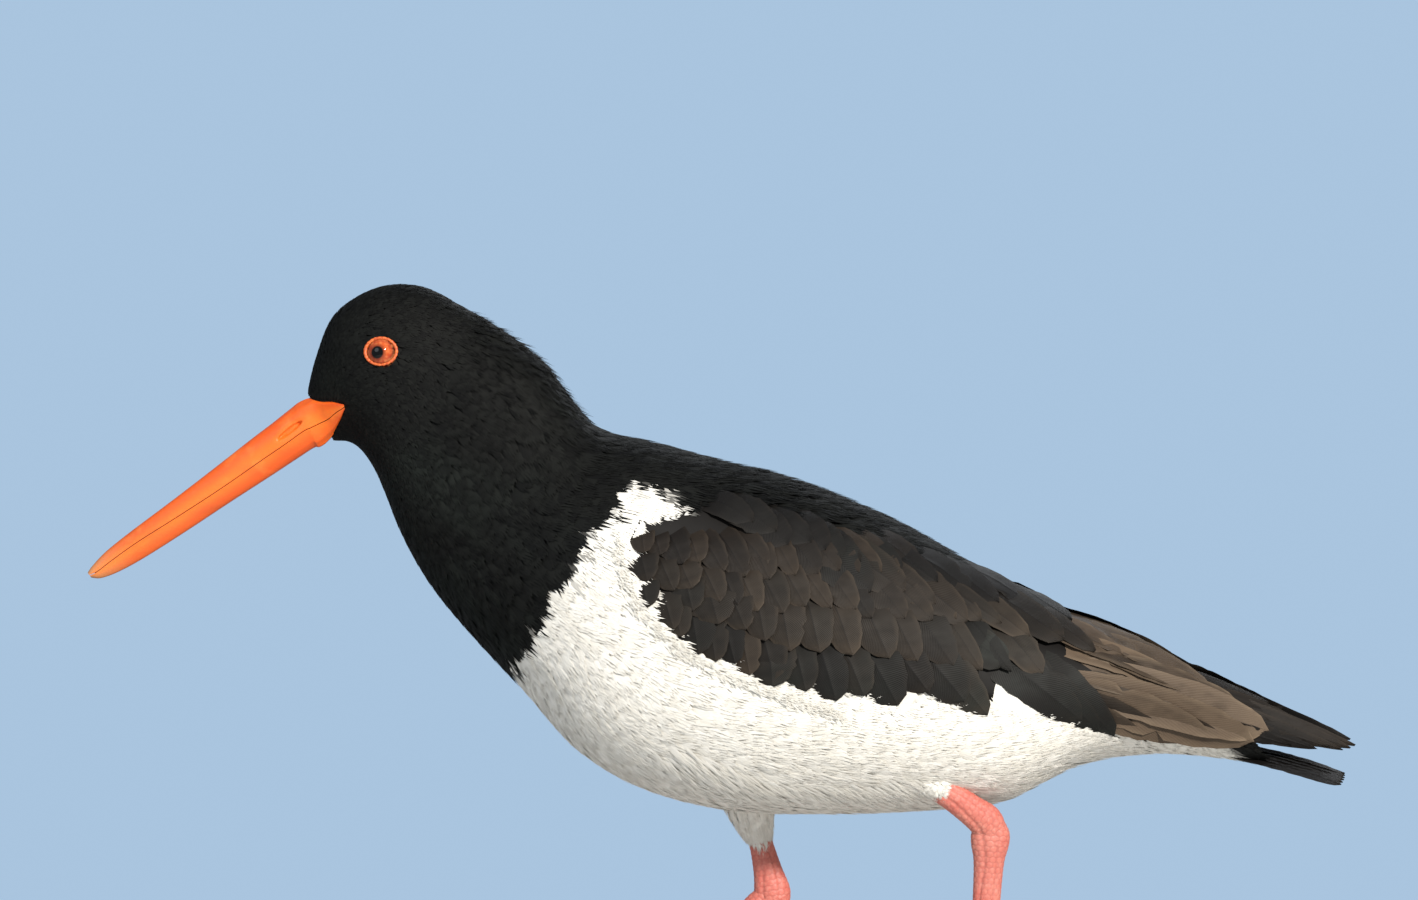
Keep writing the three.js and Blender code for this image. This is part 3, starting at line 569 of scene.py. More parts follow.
def locate(points):
    """The place and angle that are seen at points (x, z) from the side."""
    x, z = np.asarray(points, float)[..., 0], np.asarray(points, float)[..., 1]
    low, high = np.zeros_like(x), np.full_like(x, float(PLACES))
    for _ in range(26):
        mid = (low + high) / 2
        cut = curve(SECTIONS, mid)
        tx, tz, bx, bz = (cut[..., k] for k in range(4))
        beyond = (x - bx) * (tz - bz) - (z - bz) * (tx - bx) > 0
        low, high = np.where(beyond, mid, low), np.where(beyond, high, mid)
    cut = curve(SECTIONS, low)
    tx, tz, bx, bz = (cut[..., k] for k in range(4))
    up = np.hypot(x - bx, z - bz) / np.hypot(tx - bx, tz - bz)
    sine = np.clip(2 * up - 1, -1, 1)
    return low, np.arcsin(np.sign(sine) * np.abs(sine) ** (ROUNDNESS / 2))


# The lower edge of the folded wing on the body as seen from the side (x, z)
WING_EDGE = [
    (-28.0, 139.5), (-18.0, 119.5), (-6.0, 111.0), (9.0, 105.5), (24.0, 100.5), (42.0, 99.0),
    (62.0, 96.0), (84.0, 93.0), (102.0, 88.5), (117.0, 84.5), (138.0, 83.0), (156.0, 80.5),
]
edge_place, edge_angle = locate(WING_EDGE)
WING_STARTS = edge_place[0]


def wing_roof(s):
    """The angle of the wing's upper edge, which nearly meets the other wing's further back."""
    return np.radians(mixed(74.0, 87.0, smooth(s, 15, 17.5)))


def under_wing(s, angle):
    """1 where the folded wing lies over the body, 0 where it doesn't."""
    edge = np.interp(s, edge_place, edge_angle)
    lies = smooth(angle, edge - 0.3, edge + 0.1)
    return lies * smooth(s, WING_STARTS - 0.2, WING_STARTS + 0.8)


# Markings: the white of the underparts as seen from the side (x, z)

WHITE_EDGE = [
    (-66.5, 104.4), (-61.0, 114.6), (-54.5, 126.0), (-48.5, 135.0), (-44.5, 142.5), (-42.0, 147.0),
    (-37.5, 151.5), (-34.6, 157.8), (-29.0, 159.0), (-21.5, 157.2), (-17.0, 153.9), (-9.5, 149.4),
    (10.0, 138.0), (60.0, 122.0), (110.0, 96.0), (143.0, 84.0), (145.0, 76.0), (146.0, 20.0),
    (-120.0, 20.0), (-80.0, 95.0),
]


def inside(points, outline):
    """How far points are inside a closed outline, in millimetres, below 0 outside."""
    points = np.asarray(points, float)
    outline = np.asarray(outline, float)
    x, z = points[..., 0], points[..., 1]
    best = np.full(x.shape, 1e9)
    odd = np.zeros(x.shape, bool)
    for (ax, az), (bx, bz) in zip(outline, np.roll(outline, -1, 0)):
        t = ((x - ax) * (bx - ax) + (z - az) * (bz - az)) / ((bx - ax) ** 2 + (bz - az) ** 2)
        t = np.clip(t, 0, 1)
        best = np.minimum(best, np.hypot(x - ax - t * (bx - ax), z - az - t * (bz - az)))
        crosses = (az > z) != (bz > z)
        with np.errstate(divide="ignore", invalid="ignore"):
            odd ^= crosses & (x < (bx - ax) * (z - az) / (bz - az) + ax)
    return np.where(odd, best, -best)


# The white of the rump from above, along x and to each side of the middle
RUMP_WHITE = {"starts": 120, "ends": 150, "half": 16}


def whiteness(points):
    """1 on the white underparts and rump, 0 on the black, at points (x, y, z)."""
    side = inside(points[..., [0, 2]], WHITE_EDGE)
    x, off_middle = points[..., 0], np.abs(points[..., 1])
    rump = smooth(x - RUMP_WHITE["starts"], 0, 6) * smooth(RUMP_WHITE["half"] - off_middle, 0, 3)
    rump = rump * smooth(RUMP_WHITE["ends"] - x, 0, 3)
    return np.maximum(smooth(side, -0.8, 0.8), rump)


# The folded wing's outline as seen from the side (x, z), a little inside its feathers
WING_OUTLINE = [
    (-24.5, 146.5), (-25.5, 139.0), (-19.5, 123.5), (-9.0, 113.5), (3.0, 107.5), (15.0, 102.0),
    (30.0, 98.0), (50.0, 96.5), (72.0, 95.0), (96.0, 88.5), (114.0, 83.6), (140.0, 82.6),
    (158.0, 81.6), (180.0, 84.0), (150.0, 101.0), (110.0, 117.0), (76.0, 133.5), (50.0, 145.0),
    (14.0, 153.0), (-6.0, 151.0),
]
# The bare corner of the bill on the cheek as seen from the side (x, z)
CHEEK_CORNER = [
    (-127.5, 183.4), (-119.0, 182.8), (-114.6, 182.3), (-112.4, 181.1), (-113.6, 178.2),
    (-116.6, 172.2), (-120.6, 169.2), (-125.4, 170.0), (-129.0, 177.0),
]
EYE_SEEN = (-101.7, 197.4)
EYE_BARE = {"half": 4.9, "tall": 0.9}  # tall is its height as a share of its width


def bare(points):
    """True where no feather grows: at the bill's corner and round the eye."""
    seen = points[..., [0, 2]]
    corner = inside(seen, CHEEK_CORNER) > -0.15
    eye = np.hypot(seen[..., 0] - EYE_SEEN[0], (seen[..., 1] - EYE_SEEN[1]) / EYE_BARE["tall"])
    return corner | (eye < EYE_BARE["half"])


# Small feathers


def feather_shape(times, prongs, ragged):
    """A closed vane with a split tip: (along, across, layer) of its points and its triangles.
    layer is 1 on the upper face, 0 on the lower and 0.5 on the shared edge."""
    wide = np.linspace(-1, 1, prongs + 1)
    points, upper, lower = [], {}, {}
    for i, t in enumerate(times):
        for j, w in enumerate(wide):
            if j in (0, prongs):
                upper[i, j] = lower[i, j] = len(points)
                points.append((t, w, 0.5))
            else:
                upper[i, j] = len(points)
                points.append((t, w, 1.0))
                lower[i, j] = len(points)
                points.append((t, w, 0.0))
    faces = []
    for i in range(len(times) - 1):
        for j in range(prongs):
            a, b, c, d = (upper[i, j], upper[i, j + 1], upper[i + 1, j + 1], upper[i + 1, j])
            faces += [(a, b, c), (a, c, d)]
            a, b, c, d = (lower[i, j], lower[i, j + 1], lower[i + 1, j + 1], lower[i + 1, j])
            faces += [(a, c, b), (a, d, c)]
    last = len(times) - 1
    middle = (wide[:-1] + wide[1:]) / 2
    for j in range(prongs):
        tip = len(points)
        shorter = abs(middle[j]) * 0.16 + ragged * rng.random()
        points.append((1 - shorter, middle[j] * (1 + 0.3 * rng.standard_normal()), 0.5))
        faces.append((upper[last, j], upper[last, j + 1], tip))
        faces.append((lower[last, j + 1], lower[last, j], tip))
        if j > 0:
            faces.append((lower[last, j], upper[last, j], tip))
        if j < prongs - 1:
            faces.append((upper[last, j + 1], lower[last, j + 1], tip))
    for j in range(1, prongs - 1):
        faces.append((upper[0, j + 1], upper[0, j], lower[0, j]))
        faces.append((lower[0, j], lower[0, j + 1], upper[0, j + 1]))
    faces.append((upper[0, 0], lower[0, 1], upper[0, 1]))
    faces.append((upper[0, prongs], upper[0, prongs - 1], lower[0, prongs - 1]))
    return np.array(points), np.array(faces)


class Bundle:
    """Closed feathers that are gathered into one mesh."""

    def __init__(self, keys):
        self.points, self.faces, self.unwrap = [], [], []
        self.values = {key: [] for key in keys}
        self.count = 0

    def gather(self, points, faces, unwrap):
        self.points.append(points.reshape(-1, 3))
        self.faces.append((faces + self.count).reshape(-1, 3))
        self.unwrap.append(unwrap.reshape(-1, 2))
        self.count += len(self.points[-1])

    def mesh(self, name, material):
        values = {key: np.concatenate(parts) for key, parts in self.values.items()}
        points, faces = np.concatenate(self.points), np.concatenate(self.faces)
        return make_mesh(name, points, faces, material, values, np.concatenate(self.unwrap))


COAT_PATCH = 0.003  # a small feather's share of the OFBake map
COAT_THICK = (0.05, 0.03)  # in millimetres, and what each millimetre of half width adds
COAT_CUPPED = 0.06  # how far the sides of a feather bend down, as a share of its half width


class Coat(Bundle):
    """Small feathers set on a surface."""

    def __init__(self, surface):
        super().__init__(("white", "shade", "along", "across"))
        self.surface = surface

    def add(self, shape, u, v, length, half, heading, rise, depth, white, curl=0.0):
        """One feather for each place (u, v). heading turns it from the surface's length."""
        points, faces = shape
        if len(u) == 0:
            return
        t, w, layer = (points[None, :, k] for k in range(3))
        a = unit(self.surface.read(self.surface.along, u, v))
        normal = unit(self.surface.read(self.surface.normal, u, v))
        b = np.cross(normal, a)
        ahead = a * np.cos(heading)[:, None] + b * np.sin(heading)[:, None]
        across = np.cross(normal, ahead)
        profile = np.sqrt(np.clip(t * 5 + 0.08, 0, 1)) * (1 - 0.25 * smooth(t, 0.5, 1.0))
        reach = (w * profile) * half[:, None]
        bend = curl * (t**2) * length[:, None]
        vectors = ahead[:, None] * (t * length[:, None])[..., None]
        vectors = vectors + across[:, None] * (reach + bend)[..., None]
        uu = np.broadcast_to(u[:, None], reach.shape)
        vv = np.broadcast_to(v[:, None], reach.shape)
        du, dv = self.surface.steps(uu, vv, vectors)
        u2, v2 = uu + du, vv + dv
        thick = COAT_THICK[0] + COAT_THICK[1] * half[:, None]
        height = -depth[:, None] * (1 - t) ** 2 + rise[:, None] * t**1.5
        height = height - COAT_CUPPED * half[:, None] * w**2
        height = height + (layer - 0.5) * thick * (1 - 0.6 * t)
        out = self.surface.read(self.surface.normal, u2, v2)
        at = self.surface.at(u2, v2) + out * height[..., None]
        beyond = np.clip(u2 - 1, 0, None)[..., None]
        at = at + self.surface.read(self.surface.along, u2, v2) * beyond
        offsets = (np.arange(len(u)) * len(points))[:, None, None]
        patch = np.stack([t - 0.5 + 0 * reach, w * 0.5 + 0 * reach], -1)
        unwrap = np.stack([uu, vv], -1) * 0.99 + patch * COAT_PATCH + 0.004
        self.gather(at, faces[None] + offsets, unwrap)
        shade = rng.random(len(u))
        grids = (white[:, None], shade[:, None], t, w)
        for key, grid in zip(("white", "shade", "along", "across"), grids):
            self.values[key].append(np.broadcast_to(grid, reach.shape).ravel())


# Feather length along the body, in millimetres, at places along the sections
LENGTHS = [
    (0.0, 1.9), (1.0, 2.4), (2.0, 3.0), (3.5, 3.8), (5.0, 5.0), (6.0, 6.4), (7.5, 8.0), (9.0, 9.5),
    (11.0, 11.5), (14.0, 14.0), (18.5, 15.0), (20.4, 9.0),
]


def length_at(s):
    places, lengths = zip(*LENGTHS)
    return np.interp(s, places, lengths)


GAP_ROUND, GAP_ALONG = 0.2, 0.26  # between neighbours, as shares of a feather's length
LOOSENESS = 0.11  # how far small feathers turn from the lie of the coat
# Half width, root and lift of small feathers as shares of their length, and how much they vary
LENGTH_VARIES = 0.16
HALF_SHARE, HALF_VARIES = 0.135, 0.055
ROOT_SHARE, ROOT_BY_WING = 0.11, 3.6  # the second one is in millimetres
LIFT, LIFT_SHARE, LIFT_VARIES = 0.05, 0.01, 0.02  # the first one is in millimetres
CLEAR_OF_WING = (3.6, 1.5)  # the length of feathers at the wing's edge, and how much it varies
BACK_OPENS = (0.34, 0.22)  # angles below the wing's upper edge over which the back comes out
# Where the feathers of the rump lie under the closed wings, and how far
RUMP = {"angles": (0.9, 1.2), "places": (15.4, 17.0), "sunk": 2.9}


def feather_places(start, end, closeness):
    """Rows of places (u, v) round the body, staggered from row to row, with small jitter."""
    us, vs = [], []
    s, row = start, 0
    while s < end:
        length = float(length_at(s))
        ring = plumage.at(np.full(200, s / PLACES), np.linspace(0, 1, 200, endpoint=False))
        girth = np.linalg.norm(ring - np.roll(ring, -1, 0), axis=1).sum()
        ahead = plumage.read(plumage.along, np.array([s / PLACES]), np.array([0.5]))
        step = np.linalg.norm(ahead) / PLACES
        many = max(12, int(girth / (length * GAP_ROUND * closeness)))
        v = (np.arange(many) + 0.5 * (row % 2) + 0.3 * rng.standard_normal(many)) / many
        gap = length * GAP_ALONG * closeness / step
        u = (s + gap * 0.4 * rng.standard_normal(many)) / PLACES
        us.append(np.clip(u, 0, BODY_ENDS / PLACES))
        vs.append(v % 1.0)
        s += gap
        row += 1
    return np.concatenate(us), np.concatenate(vs)


def coat_piece(name, start, end, shapes, closeness, extra, material):
    """The small feathers between two places along the sections, with the extra strands there."""
    coat = Coat(plumage)
    u, v = feather_places(start, end, closeness)
    at = plumage.at(u, v)
    s, angle = u * PLACES, angle_of(v)
    covered = under_wing(s, angle)
    open_back = smooth(angle, *(wing_roof(s) - below for below in BACK_OPENS))
    sunk = smooth(angle, *RUMP["angles"]) * smooth(s, *RUMP["places"])
    hidden = inside(at[:, [0, 2]], WING_OUTLINE) > 0
    keep = ~bare(at) & ~(hidden & (open_back < 0.5)) & (covered * (1 - open_back) < 0.9)
    u, v, at, s, angle = u[keep], v[keep], at[keep], s[keep], angle[keep]
    covered, sunk = covered[keep], sunk[keep]
    white = whiteness(at + rng.standard_normal(at.shape) * 0.5)
    which = rng.integers(0, len(shapes), len(u))
    length = length_at(s) * (1 + LENGTH_VARIES * rng.standard_normal(len(u)))
    outside = np.where(open_back[keep] < 0.5, -inside(at[:, [0, 2]], WING_OUTLINE), 99)
    shortest, varies = CLEAR_OF_WING
    length = np.minimum(length, shortest + varies * rng.random(len(u)) + np.maximum(outside, 0))
    half = length * (HALF_SHARE + HALF_VARIES * rng.random(len(u)))
    drift = 0.1 * np.sin(s * 2.3 + v * 31) + 0.07 * np.sin(v * 71 + s)
    heading = LOOSENESS * rng.standard_normal(len(u)) + drift
    rise = LIFT + LIFT_SHARE * length + LIFT_VARIES * length * rng.random(len(u)) ** 3
    rise = rise - RUMP["sunk"] * sunk
    depth = np.maximum(ROOT_SHARE * length, ROOT_BY_WING * covered) * (1 - 0.7 * sunk)
    curl = 0.6 * LOOSENESS * rng.standard_normal(len(shapes))
    columns = (u, v, length, half, heading, rise, depth, white)
    for k, shape in enumerate(shapes):
        coat.add(shape, *(column[which == k] for column in columns), curl=curl[k])
    if extra == "nape":
        add_nape(coat)
    elif extra:
        add_fringe(coat, **FRINGES[extra])
    piece = coat.mesh(name, material)
    return place(piece, "white_plumage" if start > 10 else "black_plumage")


# The loose feathers of the nape start and reach along the sections
NAPE = {"many": 420, "starts": 6.0, "reaches": 3.2, "half": 0.55, "sunk": 0.8}
NAPE_LENGTH, NAPE_LIFT = (7.5, 4.0), (0.9, 2.7)  # the least, and how much they vary


def on_sides(angle, right):
    """Places v of angles, on the right where right is true and on the left elsewhere."""
    return np.where(right, turn_of(angle, RIGHT), turn_of(angle, LEFT))


def add_nape(coat):
    """The loose pointed feathers that stand off the back of the neck."""
    many = NAPE["many"]
    shape = feather_shape([0, 0.3], 2, 0.3)
    u = (NAPE["starts"] + NAPE["reaches"] * rng.random(many)) / PLACES
    angle = math.pi / 2 - 0.5 * np.abs(rng.standard_normal(many))
    v = on_sides(angle, rng.integers(0, 2, many) == 1)
    length = NAPE_LENGTH[0] + NAPE_LENGTH[1] * rng.random(many)
    rise = NAPE_LIFT[0] + NAPE_LIFT[1] * rng.random(many)
    heading = 0.16 * rng.standard_normal(many)
    half, sunk = np.full(many, NAPE["half"]), np.full(many, NAPE["sunk"])
    coat.add(shape, u, v, length, half, heading, rise, sunk, np.zeros(many))


# Loose white strands along lines that are seen from the side (x, z): how many, how far they
# spread off the line, their length, how far they droop and how far their tips stand off
FRINGES = {
    "wing": {
        "line": [
            (-31, 146), (-29.5, 134), (-23, 121.5), (-12, 111),
            (0, 104.5), (12, 99.5), (24, 95.5), (34, 92.0),
        ],
        "many": 900,
        "spread": (3.5, 2.5),
        "length": (3.2, 6.6),
        "droop": 0.1,
        "lift": (1.3, 2.2),
    },
    "flank": {
        "line": [(-14, 83), (0, 76), (12, 71), (24, 69), (36, 70), (48, 69), (58, 72)],
        "many": 1300,
        "spread": (9.0, 5.0),
        "length": (9.0, 15.0),
        "droop": 0.42,
        "lift": (0.9, 2.4),
    },
}


def add_fringe(coat, line, many, spread, length, droop, lift):
    """White strands of the flank, over the edge of the wing or over the belly."""
    shape = feather_shape([0, 0.2, 0.4], 2, 0.35)
    line = np.array(line, float)
    spot = rng.random(many) * (len(line) - 1)
    index = np.minimum(spot.astype(int), len(line) - 2)
    seen = mixed(line[index], line[index + 1], (spot - index)[:, None])
    wide, tall = spread
    seen = seen - np.stack([wide * rng.random(many), 0.5 + tall * rng.random(many)], -1)
    s, angle = locate(seen)
    sides = np.where(rng.random(many) < 0.5, LEFT, RIGHT)
    v = on_sides(angle, sides == RIGHT)
    length = mixed(*length, rng.random(many))
    rise = mixed(*lift, rng.random(many))
    heading = 0.12 * rng.standard_normal(many) + droop * sides
    half = (0.35 + 0.3 * rng.random(many)) * (1 + 0.04 * length)
    sunk = np.full(many, 0.7)
    coat.add(shape, s / PLACES, v, length, half, heading, rise, sunk, np.ones(many))


def make_skin(material):
    """The skin under the feathers of head, neck and torso."""
    rows, around = 260, 160
    u = np.linspace(0, BODY_ENDS / PLACES, rows)[:, None]
    v = np.linspace(0, 1, around, endpoint=False)[None]
    uu, vv = np.broadcast_to(u, (rows, around)), np.broadcast_to(v, (rows, around))
    at, normal = plumage.at(uu, vv), plumage.read(plumage.normal, uu, vv)
    s, angle = uu * PLACES, angle_of(vv)
    depth = np.interp(s, (0, 2, 5, 9, 14), (0.5, 0.7, 0.9, 1.3, 1.8))
    lies = under_wing(s, angle)
    inset = curve(SECTIONS, s)[..., 5] * lies
    rings = at - normal * (depth + inset)[..., None]
    white = whiteness(at)
    shade = np.full(white.shape, 0.6)
    attributes = {"white": white, "shade": shade, "along": shade, "across": shade * 0}
    skin = tube_mesh("body_skin", rings, material, attributes)
    return place(skin, "black_plumage", "head", "neck", "torso")


# Wings and tail


def vane_profile(t, kind):
    """Half width of a long vane at shares t of its length, 1 at its widest."""
    base = 0.45 + 0.55 * smooth(t, 0.0, 0.45)
    start = {"round": 0.52, "long": 0.6, "pointed": 0.35}[kind]
    x = np.clip((t - start) / (1 - start), 0, 1)
    if kind == "pointed":
        return base * (1 - x**1.7) ** 0.8
    return base * np.sqrt(np.clip(1 - x**2, 0, 1))


VANE_ACROSS = np.array([-1, -0.8, -0.55, -0.3, -0.045, 0, 0.045, 0.3, 0.55, 0.8, 1.0])
# The second share is a painted sheen, a greenish shine over the dark brown, not the feather's own
# colour.
TINTS = ("brown", "green", "pale")  # shares of a long feather's colour


def vane_faces(rows, wide):
    """Triangles of a closed vane whose edges share their points; the upper points come first."""
    upper = np.arange(rows * wide).reshape(rows, wide)
    lower = upper + rows * wide
    lower[:, 0], lower[:, -1] = upper[:, 0], upper[:, -1]
    lower[0], lower[-1] = upper[0], upper[-1]
    faces = []
    for grid, flip in ((upper, False), (lower, True)):
        a, b, c, d = grid[:-1, :-1], grid[:-1, 1:], grid[1:, 1:], grid[1:, :-1]
        for triangle in ((a, b, c), (a, c, d)):
            triangle = np.stack([corner.ravel() for corner in triangle], -1)
            faces.append(triangle[:, ::-1] if flip else triangle)
    faces = np.concatenate(faces)
    same = (faces == np.roll(faces, 1, 1)).any(1)
    return faces[~same]


VANE_THICK = 0.3
VANE_CUPPED, SHAFT_PROUD = 0.05, 0.16  # a share of the half width, and millimetres
EDGE_WAVES, EDGE_SPLIT = 0.03, (0.12, 0.2)  # shares of the half width
VANE_PATCH = 0.02  # a long feather's share of the OFBake map


class Vanes(Bundle):
    """Long feathers, each a fine closed vane with a raised shaft."""

    def __init__(self):
        super().__init__(("along", "across", "shade", *TINTS))

    def add(self, centre, across, normal, half, kind, tints, patch, roll=0.55):
        """centre, across and normal are one row each along the shaft."""
        rows, wide = len(centre), len(VANE_ACROSS)
        t = np.linspace(0, 1, rows)
        w = VANE_ACROSS[None]
        width = vane_profile(t, kind) * half
        edge = 1 + EDGE_WAVES * rng.standard_normal((rows, 2))
        for _ in range(rng.integers(0, 3)):
            row, column = rng.integers(rows // 3, rows - 2), rng.integers(0, 2)
            edge[row, column] -= EDGE_SPLIT[0] + EDGE_SPLIT[1] * rng.random()
        sides = np.where(w < 0, edge[:, :1], edge[:, 1:])
        sides = mixed(1.0, sides, np.abs(w) ** 4)
        reach = w * width[:, None] * sides
        camber = -VANE_CUPPED * half * w**2
        camber = camber + SHAFT_PROUD * (np.abs(w) < 0.02) * (1 - 0.8 * t[:, None])
        lift = camber + roll * w + 0.05 * rng.standard_normal((rows, 1))
        upper = centre[:, None] + across[:, None] * reach[..., None] + normal[:, None] * lift[..., None]
        thin = VANE_THICK * (1 - w**2 * 0.6) * (1 - 0.4 * t[:, None])
        lower = upper - normal[:, None] * thin[..., None]
        at = np.concatenate([upper.reshape(-1, 3), lower.reshape(-1, 3)])
        tt = np.broadcast_to(t[:, None], (rows, wide))
        ww = np.broadcast_to(w, (rows, wide))
        for key, grid in (("along", tt), ("across", ww)):
            self.values[key].append(np.concatenate([grid.ravel()] * 2))
        self.values["shade"].append(np.full(at.shape[0], rng.random()))
        for key, tint in zip(TINTS, tints):
            varied = tint if tint in (0.0, 1.0) else np.clip(tint + 0.06 * rng.standard_normal(), 0, 1)
            self.values[key].append(np.full(at.shape[0], varied))
        own = np.stack([tt - 0.5, ww * 0.5], -1).reshape(-1, 2)
        unwrap = np.concatenate([own, own]) * VANE_PATCH + np.asarray(patch)
        self.gather(at, vane_faces(rows, wide), unwrap)


WING_APART = 0.4  # from the middle plane to the inner side of each wing

Tier = namedtuple("Tier", "kind many half height tints roots tips")

# Tiers of the folded wing, lowest first. Half is the half width of a feather, height is how far a
# tier lies off the surface, tints are its shares of brown, painted greenish sheen and pale, and the
# lines of roots and tips are seen from the side (x, z).
WING_TIERS = {
    "primaries": Tier(
        "pointed", 8, 4.0, -0.7, (0.05, 0.0, 0.0),
        [(136.0, 86.5), (124.0, 103.0)],
        [(166.0, 81.2), (174.0, 79.8), (181.0, 78.6), (187.0, 78.2), (190.4, 80.2)],
    ),
    "secondaries": Tier(
        "long", 9, 5.4, -0.9, (0.0, 0.0, 1.0),
        [(34.0, 106.0), (84.0, 100.0)],
        [(41.0, 90.2), (58.0, 87.4), (76.0, 85.0), (94.0, 82.2), (104.0, 80.6)],
    ),
    "inner secondaries": Tier(
        "long", 3, 4.6, -0.6, (0.25, 0.0, 0.0),
        [(92.0, 96.0), (96.0, 100.0)],
        [(126.0, 81.6), (134.0, 81.4), (150.0, 80.8)],
    ),
    "tertials": Tier(
        "long", 6, 7.4, -0.1, (0.95, 0.0, 0.0),
        [(92.0, 98.0), (88.0, 108.0), (80.0, 126.0)],
        [(146.0, 82.0), (159.0, 80.6), (163.5, 84.6), (154.0, 92.0), (138.0, 99.5), (120.0, 107.0)],
    ),
    "greater coverts": Tier(
        "round", 12, 6.6, 0.2, (0.05, 0.7, 0.0),
        [(14.0, 117.0), (84.0, 116.0)],
        [
            (17.0, 99.0), (25.0, 97.0), (32.0, 93.4), (41.0, 96.2), (51.5, 91.0), (61.0, 95.0),
            (71.0, 93.0), (79.5, 89.2), (83.5, 103.5), (106.5, 87.4), (112.0, 84.6), (117.5, 82.4),
        ],
    ),
    "front coverts": Tier(
        "round", 8, 5.8, 0.1, (0.1, 0.35, 0.0),
        [(-25.0, 138.0), (-14.0, 131.0), (-3.0, 127.0), (9.0, 121.0)],
        [(-22.0, 121.4), (-10.5, 110.4), (1.6, 104.6), (14.0, 99.6)],
    ),
    "median coverts": Tier(
        "round", 13, 6.0, 0.4, (0.12, 0.3, 0.0),
        [(-14.0, 138.0), (72.0, 130.0)],
        [(-8.0, 120.0), (20.0, 109.0), (58.0, 105.0), (94.0, 101.0)],
    ),
    "lesser coverts": Tier(
        "round", 15, 5.6, 0.55, (0.16, 0.1, 0.0),
        [(-26.0, 144.0), (50.0, 142.0)],
        [(-22.0, 130.0), (10.0, 121.0), (42.0, 119.0), (76.0, 117.0)],
    ),
    "marginal coverts": Tier(
        "round", 15, 5.0, 0.7, (0.12, 0.0, 0.0),
        [(-26.0, 149.0), (36.0, 151.0)],
        [(-23.0, 138.0), (4.0, 132.0), (30.0, 131.0), (58.0, 131.0)],
    ),
    "upper tertials": Tier(
        "long", 5, 9.0, 0.25, (0.6, 0.0, 0.0),
        [(88.0, 122.0), (80.0, 131.0)],
        [(146.0, 96.6), (142.0, 100.0), (134.0, 104.4), (124.0, 109.6)],
    ),
    "upper primaries": Tier(
        "pointed", 3, 6.0, -0.4, (0.05, 0.0, 0.0),
        [(128.0, 98.0), (126.0, 106.0)],
        [(170.0, 88.6), (164.0, 91.6), (158.0, 95.0)],
    ),
    "long scapulars": Tier(
        "round", 8, 7.4, 0.8, (0.1, 0.15, 0.0),
        [(16.0, 150.0), (72.0, 135.0)],
        [(44.0, 127.0), (78.0, 117.5), (110.0, 107.5)],
    ),
    "scapulars": Tier(
        "round", 13, 6.6, 0.95, (0.0, 0.1, 0.0),
        [(-12.0, 160.0), (66.0, 140.0)],
        [(10.0, 145.0), (42.0, 134.0), (104.0, 117.0)],
    ),
}
RAGGED = {"round": 0.95, "long": 0.5, "pointed": 0.5}  # how far feathers stray from their rows
# Rows of points along a feather
VANE_ROWS = {"round": 18, "long": 24, "pointed": 24}
VANE_HALF_VARIES = 0.14
ROOTS_SINK = 3.2  # how far the roots of the wing's feathers lie under the surface
FAR_WING_HIGHER = 1.8  # at the tips, where the right wing shows over the left one


def along_list(points, share):
    """The point at a share of the way along a list of points."""
    points = np.asarray(points, float)
    spot = share * (len(points) - 1)
    i = min(len(points) - 2, int(spot))
    return mixed(points[i], points[i + 1], spot - i)


def surface_line(root, tip, rows, side):
    """Shaft points, directions across and normals of a feather that lies on the plumage."""
    t = np.linspace(-0.02, 1.0, rows)[:, None]
    s, angle = locate(mixed(np.asarray(root), np.asarray(tip), t))
    u, v = s / PLACES, turn_of(angle, side)
    centre = plumage.at(u, v)
    normal = unit(plumage.read(plumage.normal, u, v))
    ahead = unit(np.gradient(centre, axis=0))
    across = unit(np.cross(ahead, normal)) * (1 if side == RIGHT else -1)
    return centre, across, normal


def wing_feathers(name, side, material):
    vanes = Vanes()
    for tier in WING_TIERS.values():
        rows, ragged = VANE_ROWS[tier.kind], RAGGED[tier.kind]
        for share in np.linspace(0, 1, tier.many):
            root = along_list(tier.roots, share) + rng.standard_normal(2) * ragged
            tip = along_list(tier.tips, share) + rng.standard_normal(2) * ragged
            centre, across, normal = surface_line(root, tip, rows, side)
            t = np.linspace(0, 1, rows)[:, None]
            rise = mixed(-ROOTS_SINK, tier.height, smooth(t, 0.05, 0.7))
            rise = rise + (0.1 + 0.3 * rng.random()) * t**4
            centre = centre + normal * rise
            centre[:, 1] = side * np.maximum(side * centre[:, 1], WING_APART + 0.8)
            if side == RIGHT:
                centre[:, 2] += FAR_WING_HIGHER * smooth(centre[:, 0], 70, 180)
            half = tier.half * (1 + VANE_HALF_VARIES * rng.standard_normal())
            s, angle = locate(root)
            patch = (float(s) / PLACES, float(turn_of(angle, side)))
            vanes.add(centre, across, normal, half, tier.kind, tier.tints, patch)
    return place(vanes.mesh(name, material), "flight_feathers")


CORE_SUNK = 1.7  # how far the wing's core lies under its feathers


